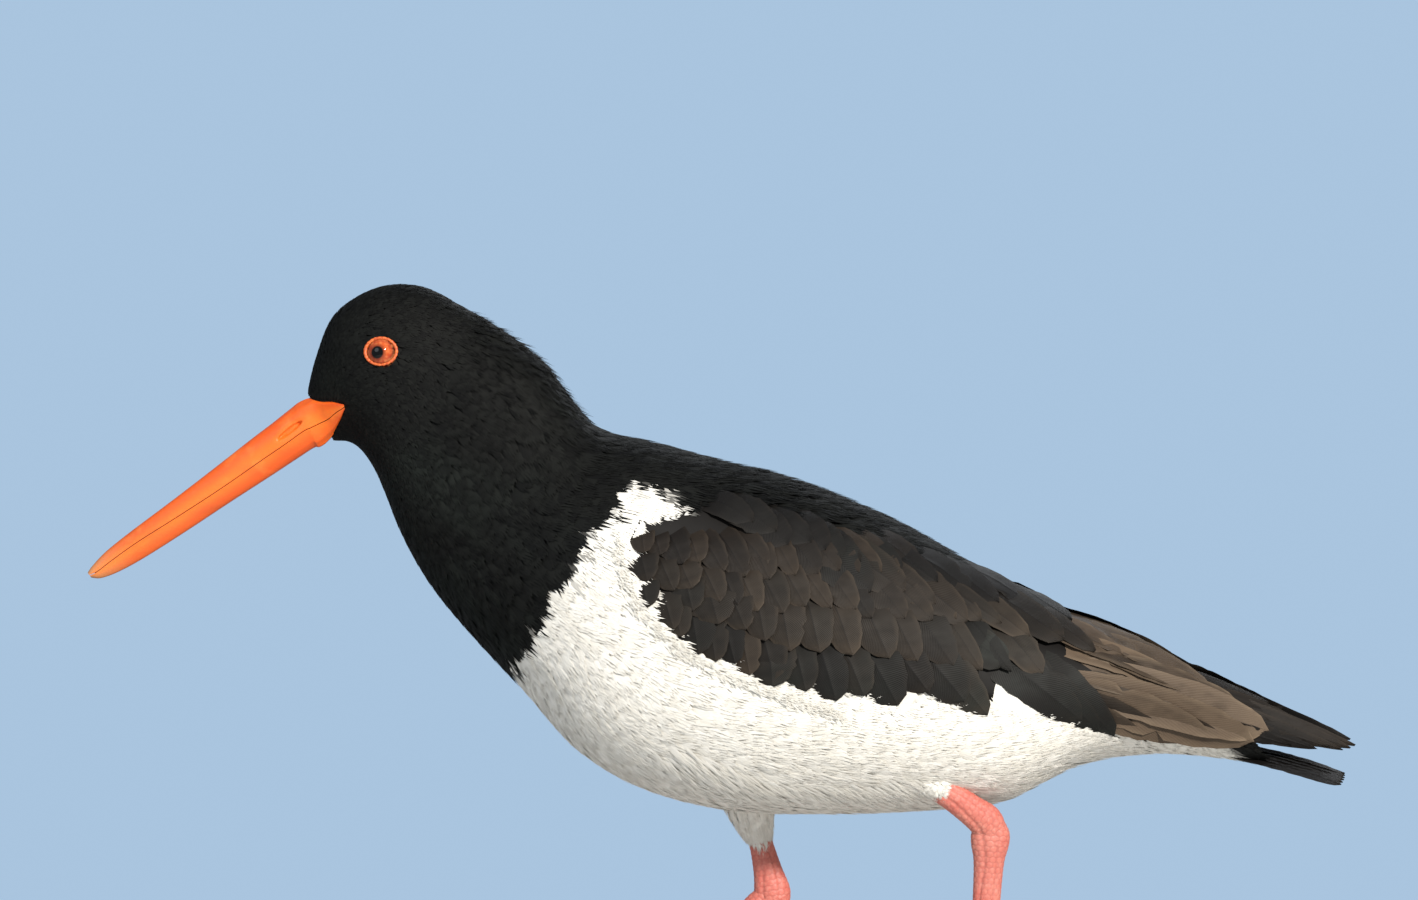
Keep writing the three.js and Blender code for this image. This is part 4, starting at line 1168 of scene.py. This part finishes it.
def wing_core(name, side, material, node):
    """The dark body of the folded wing, between the feathers and the flank."""
    rows, across = 60, 24
    rings = []
    for s in np.linspace(WING_STARTS, BODY_ENDS - 0.2, rows):
        opened = smooth(s, WING_STARTS - 0.3, WING_STARTS + 1.6)
        low = np.interp(s, edge_place, edge_angle)
        high = mixed(low + 0.15, wing_roof(s), opened)
        angle = np.linspace(low, high, across)
        u, v = np.full(across, s / PLACES), turn_of(angle, side)
        at, normal = plumage.at(u, v), unit(plumage.read(plumage.normal, u, v))
        deep = curve(SECTIONS, s)[5]
        outside = at - normal * CORE_SUNK * opened
        inner = at - normal * max(deep - 0.3, 1.8)
        ring = np.concatenate([outside, inner[::-1]])
        ring[:, 1] = side * np.maximum(side * ring[:, 1], WING_APART)
        rings.append(ring)
    rings = np.array(rings)
    shade = np.full(rings.shape[:2], 0.3)
    values = {key: shade for key in ("along", "across", "shade")}
    values.update({key: shade * 0 for key in TINTS})
    return place(tube_mesh(name, rings, material, values), "flight_feathers", node)


TAIL = {"pairs": 6, "layer": 0.6, "root": (150.0, 80.5, 5.0), "tip": (187.0, 70.6, 12.4), "half": 4.4}


def make_tail(material):
    vanes = Vanes()
    (rx, rz, ry), (tx, tz, ty) = TAIL["root"], TAIL["tip"]
    for pair in reversed(range(TAIL["pairs"])):
        for side in (LEFT, RIGHT):
            share = side * (pair + 0.5) / (TAIL["pairs"] - 0.5)
            under = TAIL["layer"] * (pair + (0.5 if side == RIGHT else 0))
            root = np.array([rx, share * ry, rz - under])
            tip = np.array([tx - 1.8 * share * share, share * ty, tz - under + 0.6])
            t = np.linspace(0, 1, 22)[:, None]
            centre = mixed(root, tip, t)
            centre[:, 2] += 1.2 * np.sin(t[:, 0] * math.pi)
            ahead = unit(tip - root)
            across = unit(np.array([-ahead[1], ahead[0], -0.3 * share - 0.05 * side]))
            across = np.broadcast_to(across, centre.shape)
            normal = unit(np.cross(ahead, across))
            patch = (0.92 + 0.006 * pair, 0.5 + 0.05 * share)
            vanes.add(centre, across, normal, TAIL["half"], "long", (0.0, 0.0, 0.0), patch, roll=0.12)
    return place(vanes.mesh("tail_feathers", material), "black_plumage", "tail")


# Bill: top and bottom (x, z), half width and the mouth's height as a share, from corner to tip

BILL = [
    (-113.0, 181.7, -112.6, 180.2, 0.5, 0.40),
    (-116.4, 182.6, -114.0, 176.6, 1.0, 0.45),
    (-119.6, 183.0, -116.2, 172.9, 2.6, 0.43),
    (-123.2, 183.6, -118.6, 170.2, 5.0, 0.42),
    (-126.6, 182.4, -120.6, 168.9, 5.6, 0.42),
    (-129.4, 180.3, -122.4, 168.6, 5.5, 0.42),
    (-135.2, 175.7, -128.4, 164.7, 4.9, 0.42),
    (-141.4, 171.0, -134.6, 160.6, 4.1, 0.43),
    (-153.4, 161.6, -147.6, 152.2, 3.4, 0.44),
    (-165.4, 152.4, -160.0, 144.0, 2.9, 0.50),
    (-177.4, 143.4, -172.6, 136.0, 2.4, 0.57),
    (-184.6, 137.6, -180.6, 131.6, 2.0, 0.55),
    (-188.6, 133.4, -186.0, 129.6, 1.5, 0.50),
    (-190.15, 131.2, -189.0, 129.7, 0.7, 0.50),
]
BILL_ROOT_ENDS = 4.2  # the place where the bill is clear of the face
BILL_ROUND = 0.42  # the power that rounds its section
ROOT_PROUD = {"most": 0.4, "drop": 1.5, "drops from": 0.72}  # over the cheek, in millimetres
LIP = {"proud": 0.18, "half": 0.5}
MOUTH_GAP = 0.22
NOSTRIL = {"at": (-129.3, 173.9), "long": 4.6, "tall": 0.85, "deep": 1.5, "slope": math.radians(37)}


def softened(grid, rows):
    """A grid with its rows blended with their neighbours, so that creases across it turn round."""
    weights = np.exp(-0.5 * (np.arange(-3 * rows, 3 * rows + 1) / rows) ** 2)
    padded = np.pad(grid, ((3 * rows, 3 * rows), (0, 0)), mode="edge")
    blended = [np.convolve(column, weights / weights.sum(), "valid") for column in padded.T]
    return np.stack(blended, -1)


def bill_half(name, way, material, node):
    """One half of the bill. way is 1 for the upper half and -1 for the lower."""
    rows, steps = 260, 40
    s = np.linspace(0, len(BILL) - 1, rows)
    cut = curve(BILL, s)
    top, bottom, half, mouth = cut[:, 0:2], cut[:, 2:4], cut[:, 4], cut[:, 5]
    tall = np.hypot(*(top - bottom).T)
    sweep = np.sin(np.linspace(0, math.pi / 2, steps))
    start = mouth + way * MOUTH_GAP / 2 / tall
    end = 1.0 if way > 0 else 0.0
    up = mixed(start[:, None], end, sweep[None])
    x = mixed(bottom[:, :1], top[:, :1], up)
    z = mixed(bottom[:, 1:], top[:, 1:], up)
    oval = half[:, None] * np.clip(1 - (2 * up - 1) ** 2, 0, 1) ** BILL_ROUND
    flare = 1 - smooth(s, BILL_ROOT_ENDS - 2.4, BILL_ROOT_ENDS + 3.0)[:, None]
    spot, angle = locate(np.stack([x, z], -1))
    cheek = plumage.at(spot / PLACES, turn_of(angle, RIGHT))[..., 1]
    rim = np.clip(np.abs(2 * up - 1), 0, 1)
    drop = ROOT_PROUD["drop"] * smooth(rim, ROOT_PROUD["drops from"], 1.0)
    proud = cheek + ROOT_PROUD["most"] - drop
    spread = mixed(oval, proud, flare)
    y = softened(np.maximum(oval, spread), 11)
    lip = np.exp(-(((up - start[:, None]) * tall[:, None] / LIP["half"]) ** 2))
    y = y + LIP["proud"] * lip * smooth(s, 0.5, 2.0)[:, None] * smooth(half, 0.8, 2.0)[:, None]
    reach = np.broadcast_to((s / (len(BILL) - 1))[:, None], up.shape)
    depth = 1 - np.abs(2 * up - 1)
    if way > 0:
        y = y - nostril_depth(x, z)
    right = np.stack([x, y, z], -1)
    left = np.stack([x, -y, z], -1)[:, ::-1]
    rings = np.concatenate([right, left], 1)
    values = {"reach": reach, "depth": depth}
    values = {key: np.concatenate([grid, grid[:, ::-1]], 1) for key, grid in values.items()}
    return place(tube_mesh(name, rings, material, values), "bill", node)


def make_mouth(material):
    """The lining between the two halves of the bill, its dark colour painted shade in the slit between
    them.
    """
    s = np.linspace(0.6, len(BILL) - 1.8, 120)
    cut = curve(BILL, s)
    top, bottom, half, mouth = cut[:, 0:2], cut[:, 2:4], cut[:, 4], cut[:, 5:6]
    middle = mixed(bottom, top, mouth)
    up = unit(top - bottom)
    rings = []
    for across, lift in ((-0.8, 0.5), (0.8, 0.5), (0.8, -0.5), (-0.8, -0.5)):
        at = middle + up * lift
        rings.append(np.stack([at[:, 0], across * half, at[:, 1]], -1))
    place(tube_mesh("mouth_lining", np.stack(rings, 1), material), "bill")


def nostril_depth(x, z):
    """How far the slit of the nostril sinks into the side of the bill."""
    dx, dz = x - NOSTRIL["at"][0], z - NOSTRIL["at"][1]
    cos, sin = math.cos(NOSTRIL["slope"]), math.sin(NOSTRIL["slope"])
    along, off = dx * cos + dz * sin, dz * cos - dx * sin
    slit = 1 - (along / NOSTRIL["long"]) ** 2 - (off / NOSTRIL["tall"]) ** 2
    rim = 1 - (along / (NOSTRIL["long"] * 1.5)) ** 2 - (off / (NOSTRIL["tall"] * 2.6)) ** 2
    return NOSTRIL["deep"] * smooth(slit, -0.15, 0.5) + 0.3 * smooth(rim, 0, 1)


# Eyes

EYE = {"radius": 5.6, "sunk": 3.9, "iris": 4.15, "pupil": 2.0, "pupil off": (-0.75, -0.5)}
CORNEA = {"radius": 4.2, "bulge": 0.35}
LID = {"radius": 4.74, "thick": 0.5, "tall": 0.85, "proud": 0.15, "folds": 23, "fold": 0.1}


def eye_frame(side):
    """The middle of the eye's opening, and the directions out of it, sideways and up."""
    s, angle = locate(np.array([EYE_SEEN]))
    u, v = s / PLACES, turn_of(angle, side)
    at, normal = plumage.at(u, v)[0], unit(plumage.read(plumage.normal, u, v))[0]
    sideways = unit(np.cross(np.array([0, 0, 1.0]), normal))
    return at, normal, sideways, np.cross(normal, sideways)


def make_eye(name, side, material, node):
    at, normal, sideways, up = eye_frame(side)
    centre = at - normal * EYE["sunk"]
    rows, around = 90, 96
    tilt = np.linspace(0.001, math.pi - 0.001, rows)[:, None]
    turn = circle(around)[None]
    out = np.sin(tilt) * EYE["radius"]
    x, y = out * np.cos(turn), out * np.sin(turn)
    bulge = CORNEA["bulge"] * (1 - smooth(out, 0, CORNEA["radius"])) * (np.cos(tilt) > 0)
    depth = np.cos(tilt) * EYE["radius"] + bulge + 0 * turn
    points = centre + x[..., None] * sideways + y[..., None] * up + depth[..., None] * normal
    polar = np.where(depth > 0, out / EYE["iris"], 1.0)
    ox, oy = EYE["pupil off"]
    ox = ox * np.sign(sideways[0])
    pupil = np.where(depth > 0, np.hypot(x - ox, y - oy) / EYE["pupil"], 3.0)
    return place(tube_mesh(name, points, material, {"polar": polar, "pupil": pupil}), "eye", node)


def make_lid(name, side, material, node):
    """The bare ring round the eye, a little folded and uneven in thickness."""
    at, normal, sideways, up = eye_frame(side)
    rows, around = 120, 20
    turn, ring = circle(rows)[:, None], circle(around)[None]
    thick = LID["thick"] * (1 + LID["fold"] * np.cos(turn * LID["folds"]) + 0.12 * np.sin(turn - 0.6))
    radius = LID["radius"] + thick * np.cos(ring)
    lift = LID["proud"] + 0.85 * thick * np.sin(ring) - 0.3 * np.cos(turn) ** 2
    x = radius * np.cos(turn)
    y = radius * np.sin(turn) * LID["tall"]
    points = at + x[..., None] * sideways + y[..., None] * up + lift[..., None] * normal
    faces = ring_quads(rows, around, True)
    if side == RIGHT:
        faces = faces[:, ::-1]
    lid = make_mesh(name, points, faces, material)
    return place(lid, "eyelid", node)


# Legs: each station is a point (x, y, z), front to back radius and side to side radius

LEGS = {
    "left": {
        "thigh": [
            ((46, -13, 82), 10, 8), ((54, -20, 76), 8.8, 7.0), ((60, -23.6, 71.4), 6.8, 5.8),
            ((64, -24.7, 68.4), 5.0, 4.6), ((66, -25, 66.8), 3.7, 3.5),
        ],
        "shank": [
            ((57, -24.2, 71.8), 3.8, 3.2), ((62, -25, 69), 3.9, 3.2),
            ((68, -24.8, 65.3), 4.1, 3.2), ((74, -23.2, 61), 4.5, 3.4),
            ((78.4, -21.5, 57.6), 5.1, 3.8), ((80.4, -20.6, 54.4), 4.6, 3.7),
        ],
        "ankle": (80.2, -20.4, 54.5),
        "toes": (77.2, -17.6, 4.2),
    },
    "right": {
        "thigh": [
            ((7, 11, 76), 12, 9.5), ((8.0, 16, 64), 8.8, 7.4), ((9.6, 18.6, 57.0), 6.6, 5.8),
            ((11.2, 19.8, 51.8), 4.6, 4.4), ((11.8, 20, 49.6), 3.2, 3.1),
        ],
        "shank": [
            ((9.4, 18.2, 58), 3.2, 3.0), ((12, 20, 49), 3.5, 3.1), ((14, 20.2, 41), 4.3, 3.4),
            ((15.3, 20.4, 35), 5.4, 3.9), ((15.6, 20.4, 31.4), 5.0, 3.8),
        ],
        "ankle": (15.6, 20.4, 31.6),
        "toes": (-29, 23.4, 4.6),
    },
}
# The tarsus at shares of the way from ankle to toes: front to back and side to side radius
TARSUS = [
    (-0.09, 2.2, 2.2), (-0.04, 4.6, 3.5), (0.02, 5.7, 3.9), (0.09, 5.5, 3.9), (0.17, 4.6, 3.4),
    (0.3, 4.2, 2.9), (0.6, 3.9, 2.7), (0.85, 3.7, 3.0), (0.96, 3.9, 3.8), (1.04, 2.9, 3.1),
]


def limb(stations, rows, around):
    """Rings round a bent limb, how far they lie from its middle, and the distance along it."""
    table = np.array([(*at, deep, wide) for at, deep, wide in stations], float)
    cut = curve(table, np.linspace(0, len(table) - 1, rows))
    centre, deep, wide = cut[:, :3], cut[:, 3:4], cut[:, 4:5]
    forward = unit(np.gradient(centre, axis=0))
    sideways = unit(np.array([0, 1.0, 0]) - forward * forward[:, 1:2])
    front = np.cross(forward, sideways)
    angle = circle(around)[None]
    out = wide[:, None] * np.cos(angle)[..., None] * sideways[:, None]
    out = out + deep[:, None] * np.sin(angle)[..., None] * front[:, None]
    far = np.concatenate([[0], np.cumsum(np.linalg.norm(np.diff(centre, axis=0), axis=1))])
    return centre[:, None] + out, out, far


SCALE_ROWS = 0.87  # the distance between rows of scales, as a share of their width


def scales(far, around, size, girth):
    """Height of small six-sided scales, 0 in the grooves and 1 on top, round a limb."""
    many = max(4, int(round(girth / size)))
    pitch = girth / many
    b = np.linspace(0, many, around, endpoint=False)[None] * pitch
    a = far[:, None]
    gaps = []
    for row in range(2):
        cell_a = (a / (pitch * SCALE_ROWS) + row) % 2
        da = np.minimum(cell_a, 2 - cell_a) * pitch * SCALE_ROWS
        cell_b = (b / pitch + row * 0.5) % 1
        db = np.minimum(cell_b, 1 - cell_b) * pitch
        gaps.append(np.hypot(da, db))
    near, next_near = np.minimum(*gaps), np.maximum(*gaps)
    edge = np.minimum(next_near - near, (pitch / 2 - near) * 1.6)
    return smooth(edge, 0.0, 0.32 * pitch)


LEG_SCALES = {"size": 1.9, "relief": 0.09}
# Grooves down a leg: angle round it, and start of the groove's wave
LEG_GROOVES = [(0.42, 0.0), (2.72, 1.0), (3.62, 2.0), (5.86, 3.0)]
GROOVE = {"deep": 0.34, "half": 0.13, "wanders": 0.16}
# Folds across the top of a leg, which fade out between two distances from its upper end
FOLD = {"deep": 0.22, "apart": 3.1, "ends": (2, 6)}


def scaly_limb(node, stations, material, rows, around):
    rings, out, far = limb(stations, rows, around)
    girth = np.linalg.norm(out, axis=-1).mean() * TAU
    raised = scales(far, around, LEG_SCALES["size"], girth)
    angle = circle(around)[None]
    groove = 0
    for at, wander in LEG_GROOVES:
        off = angle - at - GROOVE["wanders"] * np.sin(far[:, None] * 0.21 + wander)
        groove = groove + np.exp(-((off / GROOVE["half"]) ** 2))
    from_fold = (far[:, None] - 1.5) % FOLD["apart"] - 1.5
    fold = np.exp(-(from_fold**2) / 0.12) * (1 - smooth(far, *FOLD["ends"]))[:, None]
    shape = raised * LEG_SCALES["relief"] - GROOVE["deep"] * groove - FOLD["deep"] * fold
    rings = rings + unit(out) * shape[..., None]
    raised = raised * (1 - 0.75 * np.clip(groove + fold, 0, 1))
    return place(tube_mesh(f"{node}_skin", rings, material, {"raised": raised}), "leg", node)


def tarsus_stations(ankle, toes):
    ankle, toes = np.array(ankle, float), np.array(toes, float)
    return [(tuple(mixed(ankle, toes, t)), deep, wide) for t, deep, wide in TARSUS]


# Toes: angle from straight ahead in degrees, and length
TOES = {"inner": (27, 24.0), "middle": (0, 31.0), "outer": (-27, 27.0)}
TOE_ROOT, TOE_TIP, TOE_PADS = 2.75, 1.75, 0.22
# Plates on top of a toe, the size of the scales below, and the height of both
TOE_SCUTES = {"long": 1.35, "below": 0.8, "relief": 0.14}
WEB_HOLLOW = 0.32
THIGH_FEATHERS = 900
CLAW = {"long": 6.0, "root": 1.35, "tip": 0.3, "in toe": 1.6}


def toe_heading(side, turn):
    turn = math.radians(turn) * side
    return np.array([-math.cos(turn), -math.sin(turn), 0.0])


def make_toe(name, foot, side, toe, material):
    turn, length = TOES[toe]
    ahead = toe_heading(side, turn)
    t = np.linspace(0, 1, 9)
    radius = mixed(TOE_ROOT, TOE_TIP, t) + TOE_PADS * np.sin(t * 3 * TAU / 1.15) ** 2
    radius[-1] *= 0.72
    base = np.array([foot[0], foot[1], 0.0])
    stations = []
    for share, size in zip(t, radius):
        at = base + ahead * share * length
        stations.append(((at[0], at[1], size * 0.72), size * 0.96, size))
    rings, out, far = limb(stations, 140, 40)
    scute = (far / TOE_SCUTES["long"]) % 1.0
    upward = np.clip(unit(out)[..., 2], 0, 1) ** 0.5
    plate = smooth(np.minimum(scute, 1 - scute), 0.0, 0.22)[:, None]
    under = scales(far, 40, TOE_SCUTES["below"], TAU * 2.2)
    raised = mixed(under, plate, upward)
    rings = rings + unit(out) * (raised * TOE_SCUTES["relief"])[..., None]
    rings[..., 2] = np.maximum(rings[..., 2], 0.0)
    return tube_mesh(name, rings, material, {"raised": raised})


def make_claw(name, foot, side, toe, material, node):
    turn, length = TOES[toe]
    ahead = toe_heading(side, turn)
    base = np.array([foot[0], foot[1], 0.0]) + ahead * (length - CLAW["in toe"])
    stations = []
    for t in np.linspace(0, 1, 7):
        at = base + ahead * t * (CLAW["long"] + 0.2)
        size = mixed(CLAW["root"], CLAW["tip"], t)
        stations.append(((at[0], at[1], mixed(1.8, 0.5, t * t)), size, size * 0.8))
    rings = limb(stations, 36, 24)[0]
    rings[..., 2] = np.maximum(rings[..., 2], 0.0)
    return place(tube_mesh(name, rings, material), "claw", node)


def make_web(foot, side, first, second, reach, material):
    """The small web between two toes, hollowed towards the foot."""
    a, b = toe_heading(side, TOES[first][0]), toe_heading(side, TOES[second][0])
    t, w = np.linspace(0, 1, 24)[:, None, None], np.linspace(0, 1, 24)[None, :, None]
    hollow = 1 - WEB_HOLLOW * np.sin(w * math.pi)
    at = np.array([foot[0], foot[1], 0.0]) + mixed(a, b, w) * reach * t * hollow
    thick = 0.7 - 0.35 * t
    height = 1.7 - 0.5 * t + 0.12 * np.sin(w * 9 * math.pi) * t
    upper, lower = at + height * [0, 0, 1], at + (height - thick) * [0, 0, 1]
    rings = np.concatenate([upper, lower[:, ::-1]], 1)
    raised = np.full(rings.shape[:2], 0.8)
    return tube_mesh("web", rings, material, {"raised": raised})


def join(name, pieces):
    """One piece from several, left at the origin."""
    bpy.ops.object.select_all(action="DESELECT")
    for piece in pieces:
        piece.select_set(True)
    bpy.context.view_layer.objects.active = pieces[0]
    bpy.ops.object.join()
    pieces[0].name = name
    return pieces[0]


BALL = {"radius": 3.7, "middle": 2.5, "tall": 3.2}


def make_ball(foot, material):
    """The ball of the foot, where the toes meet."""
    tilt = np.linspace(0.02, math.pi - 0.02, 40)[:, None]
    turn = circle(48)[None]
    x = BALL["radius"] * np.sin(tilt) * np.cos(turn)
    y = BALL["radius"] * np.sin(tilt) * np.sin(turn)
    z = BALL["middle"] + BALL["tall"] * np.cos(tilt) + 0 * turn
    points = np.stack([x + foot[0], y + foot[1], np.maximum(z, 0)], -1)
    raised = np.full(z.shape, 0.8)
    return tube_mesh("ball", points, material, {"raised": raised})


def make_leg(name, leg, side, skin, horn, plumage_material):
    foot = leg["toes"]
    scaly_limb(f"shank_{name}", leg["shank"], skin, 150, 84)
    scaly_limb(f"tarsus_{name}", tarsus_stations(leg["ankle"], foot), skin, 260, 96)
    parts = [make_toe(f"toe_{toe}", foot, side, toe, skin) for toe in TOES]
    parts.append(make_ball(foot, skin))
    parts.append(make_web(foot, side, "middle", "outer", 12, skin))
    parts.append(make_web(foot, side, "inner", "middle", 8, skin))
    place(join(f"foot_{name}_skin", parts), "leg", f"foot_{name}")
    for toe in TOES:
        make_claw(f"claw_{name}_{toe}_horn", foot, side, toe, horn, f"claw_{name}_{toe}")
    thigh_coat(name, leg, plumage_material)


def thigh_coat(name, leg, material):
    """The thigh's skin and its feathers, which reach over the top of the shank."""
    rings, out, _ = limb(leg["thigh"], 80, 60)
    core = rings - unit(out) * 0.9
    grey = np.full(core.shape[:2], 0.6)
    values = {"white": grey * 0 + 1, "shade": grey, "along": grey, "across": grey * 0}
    place(tube_mesh(f"thigh_{name}_skin", core, material, values), "white_plumage", f"thigh_{name}")
    coat = Coat(Surface(rings))
    many = THIGH_FEATHERS
    u, v = 0.02 + 0.96 * rng.random(many) ** 0.7, rng.random(many)
    length = mixed(9.0, 5.0, u) * (0.7 + 0.6 * rng.random(many))
    half, rise = length * 0.12, mixed(0.3, 1.5, u**2) * (0.5 + rng.random(many))
    shape = feather_shape([0, 0.3, 0.5], 4, 0.3)
    heading = 0.15 * rng.standard_normal(many)
    coat.add(shape, u, v, length, half, heading, rise, 0.15 * length, np.ones(many))
    place(coat.mesh(f"thigh_{name}_feathers", material), "white_plumage")


# Pieces of the coat: name, start and end along the sections, feathers, closeness and extra strands
COAT_PIECES = [
    ("head_feathers", 0.05, 3.0, "fine", 0.95, None),
    ("crown_feathers", 3.0, 6.0, "fine", 0.95, None),
    ("nape_feathers", 6.0, 8.3, "soft", 0.95, "nape"),
    ("neck_feathers", 8.3, 10.4, "soft", 0.9, None),
    ("shoulder_feathers", 10.4, 12.2, "soft", 0.75, None),
    ("breast_feathers", 12.2, 14.2, "soft", 0.68, "flank"),
    ("belly_feathers", 14.2, 16.6, "soft", 0.65, None),
    ("rump_feathers", 16.6, BODY_ENDS, "soft", 0.65, "wing"),
]
FLOOR = {"radius": 600, "top": -0.05, "bottom": -8}


def make_floor():
    turn = circle(96)
    rim = np.stack([np.cos(turn), np.sin(turn), 0 * turn], -1) * FLOOR["radius"]
    rings = np.stack([rim + [0, 0, FLOOR["top"]], rim + [0, 0, FLOOR["bottom"]]])
    floor = tube_mesh("floor", rings, floor_paint())


def build():
    make_camera()
    make_light()
    make_floor()
    body, flight = body_plumage(), flight_plumage()
    make_skin(body)
    shapes = {
        "fine": [feather_shape([0, 0.3, 0.6], 2, 0.3) for _ in range(4)],
        "soft": [feather_shape([0, 0.3, 0.55], 4, 0.35) for _ in range(6)],
    }
    for name, start, end, kind, closeness, extra in COAT_PIECES:
        coat_piece(name, start, end, shapes[kind], closeness, extra, body)
    horn = bill_horn()
    bill_half("bill_upper_horn", 1, horn, "bill_upper")
    bill_half("bill_lower_horn", -1, horn, "bill_lower")
    make_mouth(shaded_mouth_skin())
    glass, lid, leg, claw = eye_glass(), lid_skin(), leg_skin(), claw_horn()
    for name, side in SIDES.items():
        make_eye(f"eye_{name}_ball", side, glass, f"eye_{name}")
        make_lid(f"eyelid_{name}_ring", side, lid, f"eyelid_{name}")
        wing_core(f"wing_{name}_core", side, flight, f"wing_{name}")
        wing_feathers(f"wing_{name}_feathers", side, flight)
        make_leg(name, LEGS[name], side, leg, claw, body)
    make_tail(flight)


build()
